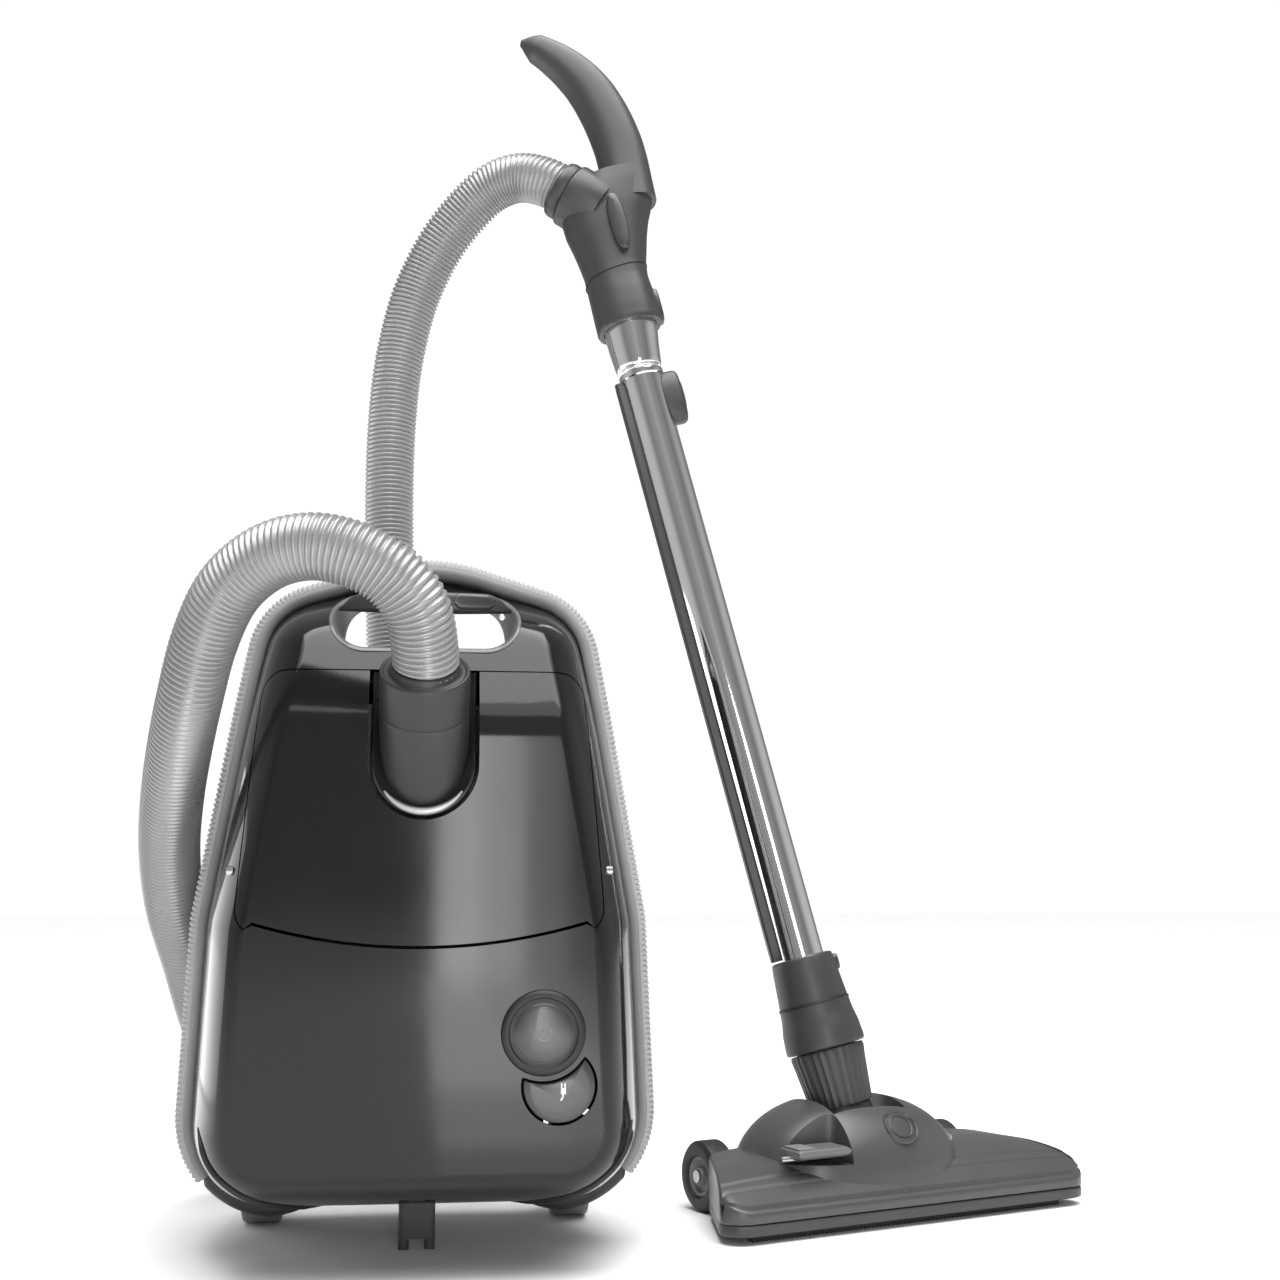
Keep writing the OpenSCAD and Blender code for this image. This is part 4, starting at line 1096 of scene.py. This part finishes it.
def add_head_parts():
    rings = []
    for x in np.linspace(-73.6, -34.4, 30):
        end = min(1.0, (x + 74.6) / 3, (-33.4 - x) / 3) ** 0.5
        ring = []
        for u, v in squircle(11.6, 3.6, 36, 3.2):
            ring.append((x, -36 + u, 47.4 + v * end + 0.8 * (u / 11.6) ** 2))
        rings.append(ring)
    piece("pedal_bar", *mapped(loft(rings), head), PEDAL_GREY, "pedal", angle=50.0)
    pad = []
    for x in np.linspace(-72.5, -60, 10):
        e = min(1.0, (x + 73) / 2, (-59.5 - x) / 2) ** 0.5
        pad.append([(x, -36 + u, 51.2 + v * e) for u, v in squircle(8.5, 0.9, 24, 3.0)])
    piece("pedal_pad", *mapped(loft(pad), head), WHEEL, "pedal", angle=50.0)
    piece("pedal_rod", *mapped(turned([(0.05, -80), (1.6, -80), (2.0, -79.6), (2.0, -28.8),
        (1.6, -28.4), (0.05, -28.4)], 32), lambda x, y, z: head(z, -36 + x, 44.5 + y)),
        FINISHES["steel"], "pedal", angle=40.0)
    tufts = []
    for y0, half in ((-50, 122), (-7, 102)):
        strip, k = [], 0
        count = int(half * 2 / 1.6)
        for i in range(count + 1):
            x = 12 - half + 2 * half * i / count
            k = i % 2
            strip.append([(x, y0 + 0.3 + 0.5 * k, 0.1 + 0.5 * k),
                (x, y0 + 4.7 - 0.5 * k, 0.1 + 0.5 * k), (x, y0 + 4.8, 5.2), (x, y0 + 4.8, 7.5),
                (x, y0 + 0.2, 7.5), (x, y0 + 0.2, 5.2)])
        tufts.append(mapped(loft(strip), head))
    piece("brush_bristles", *joined(*tufts), FINISHES["soft_black"], "brush_strips", angle=20.0)
    for cx, name, s in ((-83, "left", -1), (107, "right", 1)):
        def place(x, y, z, cx=cx, s=s):
            return head(cx + s * z, 46 + x, 23 + y)
        tyre = rounded([(13, -9.5), (20, -9.5), (22.8, -7.0), (22.8, 7.0), (20, 9.5), (14, 9.5),
            (13, 8), (13, -9.5)], 1.0, 3)
        piece(f"head_tyre_{name}", *mapped(turned(tyre, 64), place), FINISHES["soft_black"],
            f"head_wheel_{name}", angle=40.0, slot="soft_black")
        hub = rounded([(4.2, -9), (12.9, -9), (12.9, 7.8), (11, 7.8), (9.5, 5), (6.5, 5), (5.5, 8.8),
            (4.2, 8.8), (4.2, -9)], 0.6, 2)
        piece(f"head_hub_{name}", *mapped(turned(hub, 64), place), WHEEL,
            f"head_wheel_{name}", angle=40.0)


add_cover()
add_head_parts()


# Set ---------------------------------------------------------------------------------------------

def add_light(name, at, aim, width, height, power):
    data = bpy.data.lights.new(name, "AREA")
    data.shape = "RECTANGLE"
    data.size, data.size_y, data.energy = width, height, power
    made = bpy.data.objects.new(name, data)
    made.location = at
    made.rotation_euler = (Vector(aim) - Vector(at)).to_track_quat("-Z", "Y").to_euler()
    SCENE.collection.objects.link(made)


def add_set():
    half = 6.0
    mesh = bpy.data.meshes.new("floor")
    mesh.from_pydata([(-half, -half, 0), (half, -half, 0), (half, half, 0), (-half, half, 0)], [],
        [(0, 1, 2, 3)])
    floor = bpy.data.objects.new("floor", mesh)
    SCENE.collection.objects.link(floor)
    floor.data.materials.append(finish_of("floor", 0.96, 0.8, grain=80.0, bump=0.01, mottle=0.01))
    world = bpy.data.worlds.new("studio")
    SCENE.world = world
    world.use_nodes = True
    tree = world.node_tree
    seen = tree.nodes["Background"]
    seen.inputs["Color"].default_value = (1.0, 1.0, 1.0, 1.0)
    seen.inputs["Strength"].default_value = 1.05
    # What glossy and matt surfaces receive: bright to the front, darker to both sides
    room = node(tree, "ShaderNodeBackground", Strength=1.0)
    split = node(tree, "ShaderNodeSeparateXYZ")
    tree.links.new(node(tree, "ShaderNodeTexCoord").outputs["Generated"], split.inputs[0])
    ramp = node(tree, "ShaderNodeValToRGB")
    ramp.color_ramp.interpolation = "EASE"
    stops = [(0.0, 0.55), (0.16, 0.25), (0.36, 0.32), (0.5, 0.40), (0.66, 0.30), (0.84, 0.22),
        (1.0, 0.60)]
    while len(ramp.color_ramp.elements) < len(stops):
        ramp.color_ramp.elements.new(0.5)
    for stop, (at, value) in zip(ramp.color_ramp.elements, stops):
        stop.position = at
        stop.color = (value, value, value, 1.0)
    move = node(tree, "ShaderNodeMapRange")
    move.inputs["From Min"].default_value = -1.0
    tree.links.new(split.outputs["X"], move.inputs["Value"])
    tree.links.new(move.outputs["Result"], ramp.inputs["Fac"])
    tree.links.new(ramp.outputs["Color"], room.inputs["Color"])
    pick = node(tree, "ShaderNodeMixShader")
    tree.links.new(node(tree, "ShaderNodeLightPath").outputs["Is Camera Ray"], pick.inputs[0])
    tree.links.new(room.outputs[0], pick.inputs[1])
    tree.links.new(seen.outputs[0], pick.inputs[2])
    tree.links.new(pick.outputs[0], tree.nodes["World Output"].inputs["Surface"])
    # Softbox of upright strips, brightest at its left edge, and its continuation on the floor
    for k, glow in enumerate((11.0, 8.0, 3.0, 0.6)):
        x = 0.05 + 0.155 * (k + 0.5)
        add_light(f"softbox_{k}", (x, -2.6, 0.62), (x, 0, 0.62), 0.155, 1.25,
            glow * pi * 0.155 * 1.25)
        for low, high, share in ((-2.5, -0.9, 0.5), (-0.9, -0.55, 0.25), (-0.55, -0.3, 0.06)):
            x = 0.02 + 0.155 * (k + 0.5)
            y = (low + high) / 2
            add_light(f"floor_glow_{k}", (x, y, 0.004), (x, y, 1.0), 0.155, high - low,
                glow * share * pi * 0.155 * (high - low))
    add_light("left_panel", (-0.8, 0.48, 0.2), (-0.11, -0.09, 0.2), 0.85, 0.38, 2.0)
    add_light("top", (0.2, -0.4, 2.6), (0.1, 0.0, 0.0), 2.4, 2.4, 75)
    sun = bpy.data.lights.new("sun", "SUN")
    sun.energy, sun.angle = 2.3, 1.2
    above = bpy.data.objects.new("sun", sun)
    above.rotation_euler = (0.25, 0.1, 0.0)
    SCENE.collection.objects.link(above)
    SCENE.view_settings.view_transform = "Standard"


add_set()
